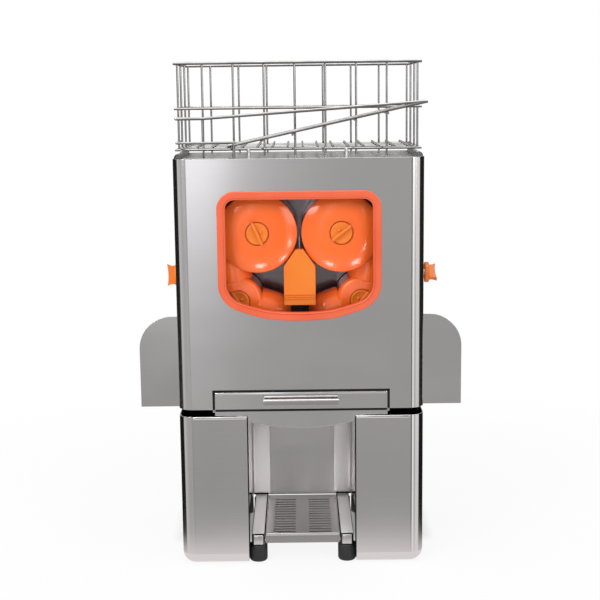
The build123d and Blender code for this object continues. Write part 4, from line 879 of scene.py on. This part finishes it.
# What bright metal sees round about: bearings from the front in degrees, towards the right, and their tones
ROOM_TONES = (
    (-172, 0.36), (-166, 0.02), (-90, 0.012), (-86, 0.50), (-80, 0.70), (-66, 0.60), (-51, 0.50),
    (-34, 0.48), (-20, 0.50), (-10, 0.38), (-6, 0.40), (-5, 0.49), (-4.0, 0.40), (-3.6, 0.42),
    (-3.2, 0.47), (-2.7, 0.42), (-1.5, 0.42), (2, 0.43), (12, 0.44), (15, 0.14), (20, 0.16),
    (25, 1.1), (33, 1.1), (42, 0.55), (48, 0.55), (53, 0.88), (80, 0.90), (85, 0.50),
    (88, 0.012), (166, 0.02), (172, 0.36),
)
PANEL_TONES = (
    (-180, 0.0), (-14, 0.0), (-8, 0.9), (-5, 1.0), (-3.8, 0.9), (-3.4, 0.40), (-2.6, 0.22),
    (-0.5, 0.10), (2, 0.0), (180, 0.0),
)
PANEL_GLOW = (1.35, 1.35, 1.35, 1.0)
PANEL_TINT = (0.97, 0.99, 1.04, 1.0)
CEILING_TONE = (0.80, 0.80, 0.80, 1.0)
GROUND_TONE = (0.80, 0.775, 0.775, 1.0)
ROOM_LIGHT = (0.55, 0.55, 0.56, 1.0)

# How bright the room's walls are, and at which rise of the view each part of the room begins and is full
WALL_LEVEL = (0.80, 1.10)
WALL_RISE = (-0.30, -0.06)
PANEL_RISE = (-0.145, -0.045)
CEILING_RISE = (0.30, 0.60)
GROUND_RISE = (-0.362, -0.346)


def tone_by_bearing(tree, bearing, tones):
    """A grey that depends on the bearing."""
    ramp = tree.nodes.new("ShaderNodeValToRGB")
    stops = ramp.color_ramp.elements
    while len(stops) < len(tones):
        stops.new(0.5)
    for stop, (degrees, grey) in zip(stops, tones):
        stop.position = (degrees + 180.0) / 360.0
        stop.color = (grey, grey, grey, 1.0)
    tree.links.new(bearing, ramp.inputs["Fac"])
    return ramp.outputs["Color"]


def studio_world():
    """White for what is seen, a plain level for the light on the part, and a studio for bright metal."""
    world = bpy.data.worlds.new("studio")
    bpy.context.scene.world = world
    world.use_nodes = True
    tree = world.node_tree
    tree.nodes.clear()
    place = tree.nodes.new("ShaderNodeTexCoord")
    axes = tree.nodes.new("ShaderNodeSeparateXYZ")
    tree.links.new(place.outputs["Generated"], axes.inputs["Vector"])
    ahead = counted(tree, "MULTIPLY", axes.outputs["Y"], -1.0)
    angle = counted(tree, "ARCTAN2", axes.outputs["X"], ahead)
    bearing = spread(tree, angle, 0.0, 1.0, -pi, pi)
    rise = axes.outputs["Z"]
    level = spread(tree, rise, *WALL_LEVEL, *WALL_RISE)
    room = blended(tree, 1.0, tone_by_bearing(tree, bearing, ROOM_TONES), level, "MULTIPLY")
    panel = blended(tree, 1.0, tone_by_bearing(tree, bearing, PANEL_TONES), PANEL_TINT, "MULTIPLY")
    glow = blended(tree, 1.0, panel, PANEL_GLOW, "MULTIPLY")
    shown = spread(tree, rise, 0.0, 1.0, *PANEL_RISE)
    sides = blended(tree, shown, room, blended(tree, 1.0, room, glow, "ADD"))
    over = blended(tree, spread(tree, rise, 0.0, 1.0, *CEILING_RISE), sides, CEILING_TONE)
    studio = blended(tree, spread(tree, rise, 1.0, 0.0, *GROUND_RISE), over, GROUND_TONE)
    ray = tree.nodes.new("ShaderNodeLightPath")
    seen = counted(tree, "MAXIMUM", ray.outputs["Is Camera Ray"], ray.outputs["Is Transmission Ray"])
    plain = blended(tree, seen, ROOM_LIGHT, WHITE)
    light = tree.nodes.new("ShaderNodeBackground")
    tree.links.new(blended(tree, ray.outputs["Is Glossy Ray"], plain, studio), light.inputs["Color"])
    out = tree.nodes.new("ShaderNodeOutputWorld")
    tree.links.new(light.outputs["Background"], out.inputs["Surface"])


studio_world()
bpy.context.scene.view_settings.view_transform = "Standard"

# Camera, straight in front of the cover
CAMERA_DISTANCE = 2.0
CAMERA_HEIGHT = 0.798
CAMERA_PITCH = 9.6
CAMERA_ROLL = 0.66
CAMERA_LENS = 73.6
CAMERA_SENSOR = 36.0
camera_data = bpy.data.cameras.new("camera")
camera_data.sensor_width = CAMERA_SENSOR
camera_data.lens = CAMERA_LENS
camera = bpy.data.objects.new("camera", camera_data)
bpy.context.scene.collection.objects.link(camera)
camera.matrix_world = (
    Matrix.Translation((0.0, cover_low.y - CAMERA_DISTANCE, CAMERA_HEIGHT))
    @ Matrix.Rotation(radians(90.0 - CAMERA_PITCH), 4, "X")
    @ Matrix.Rotation(radians(-CAMERA_ROLL), 4, "Z")
)
bpy.context.scene.camera = camera
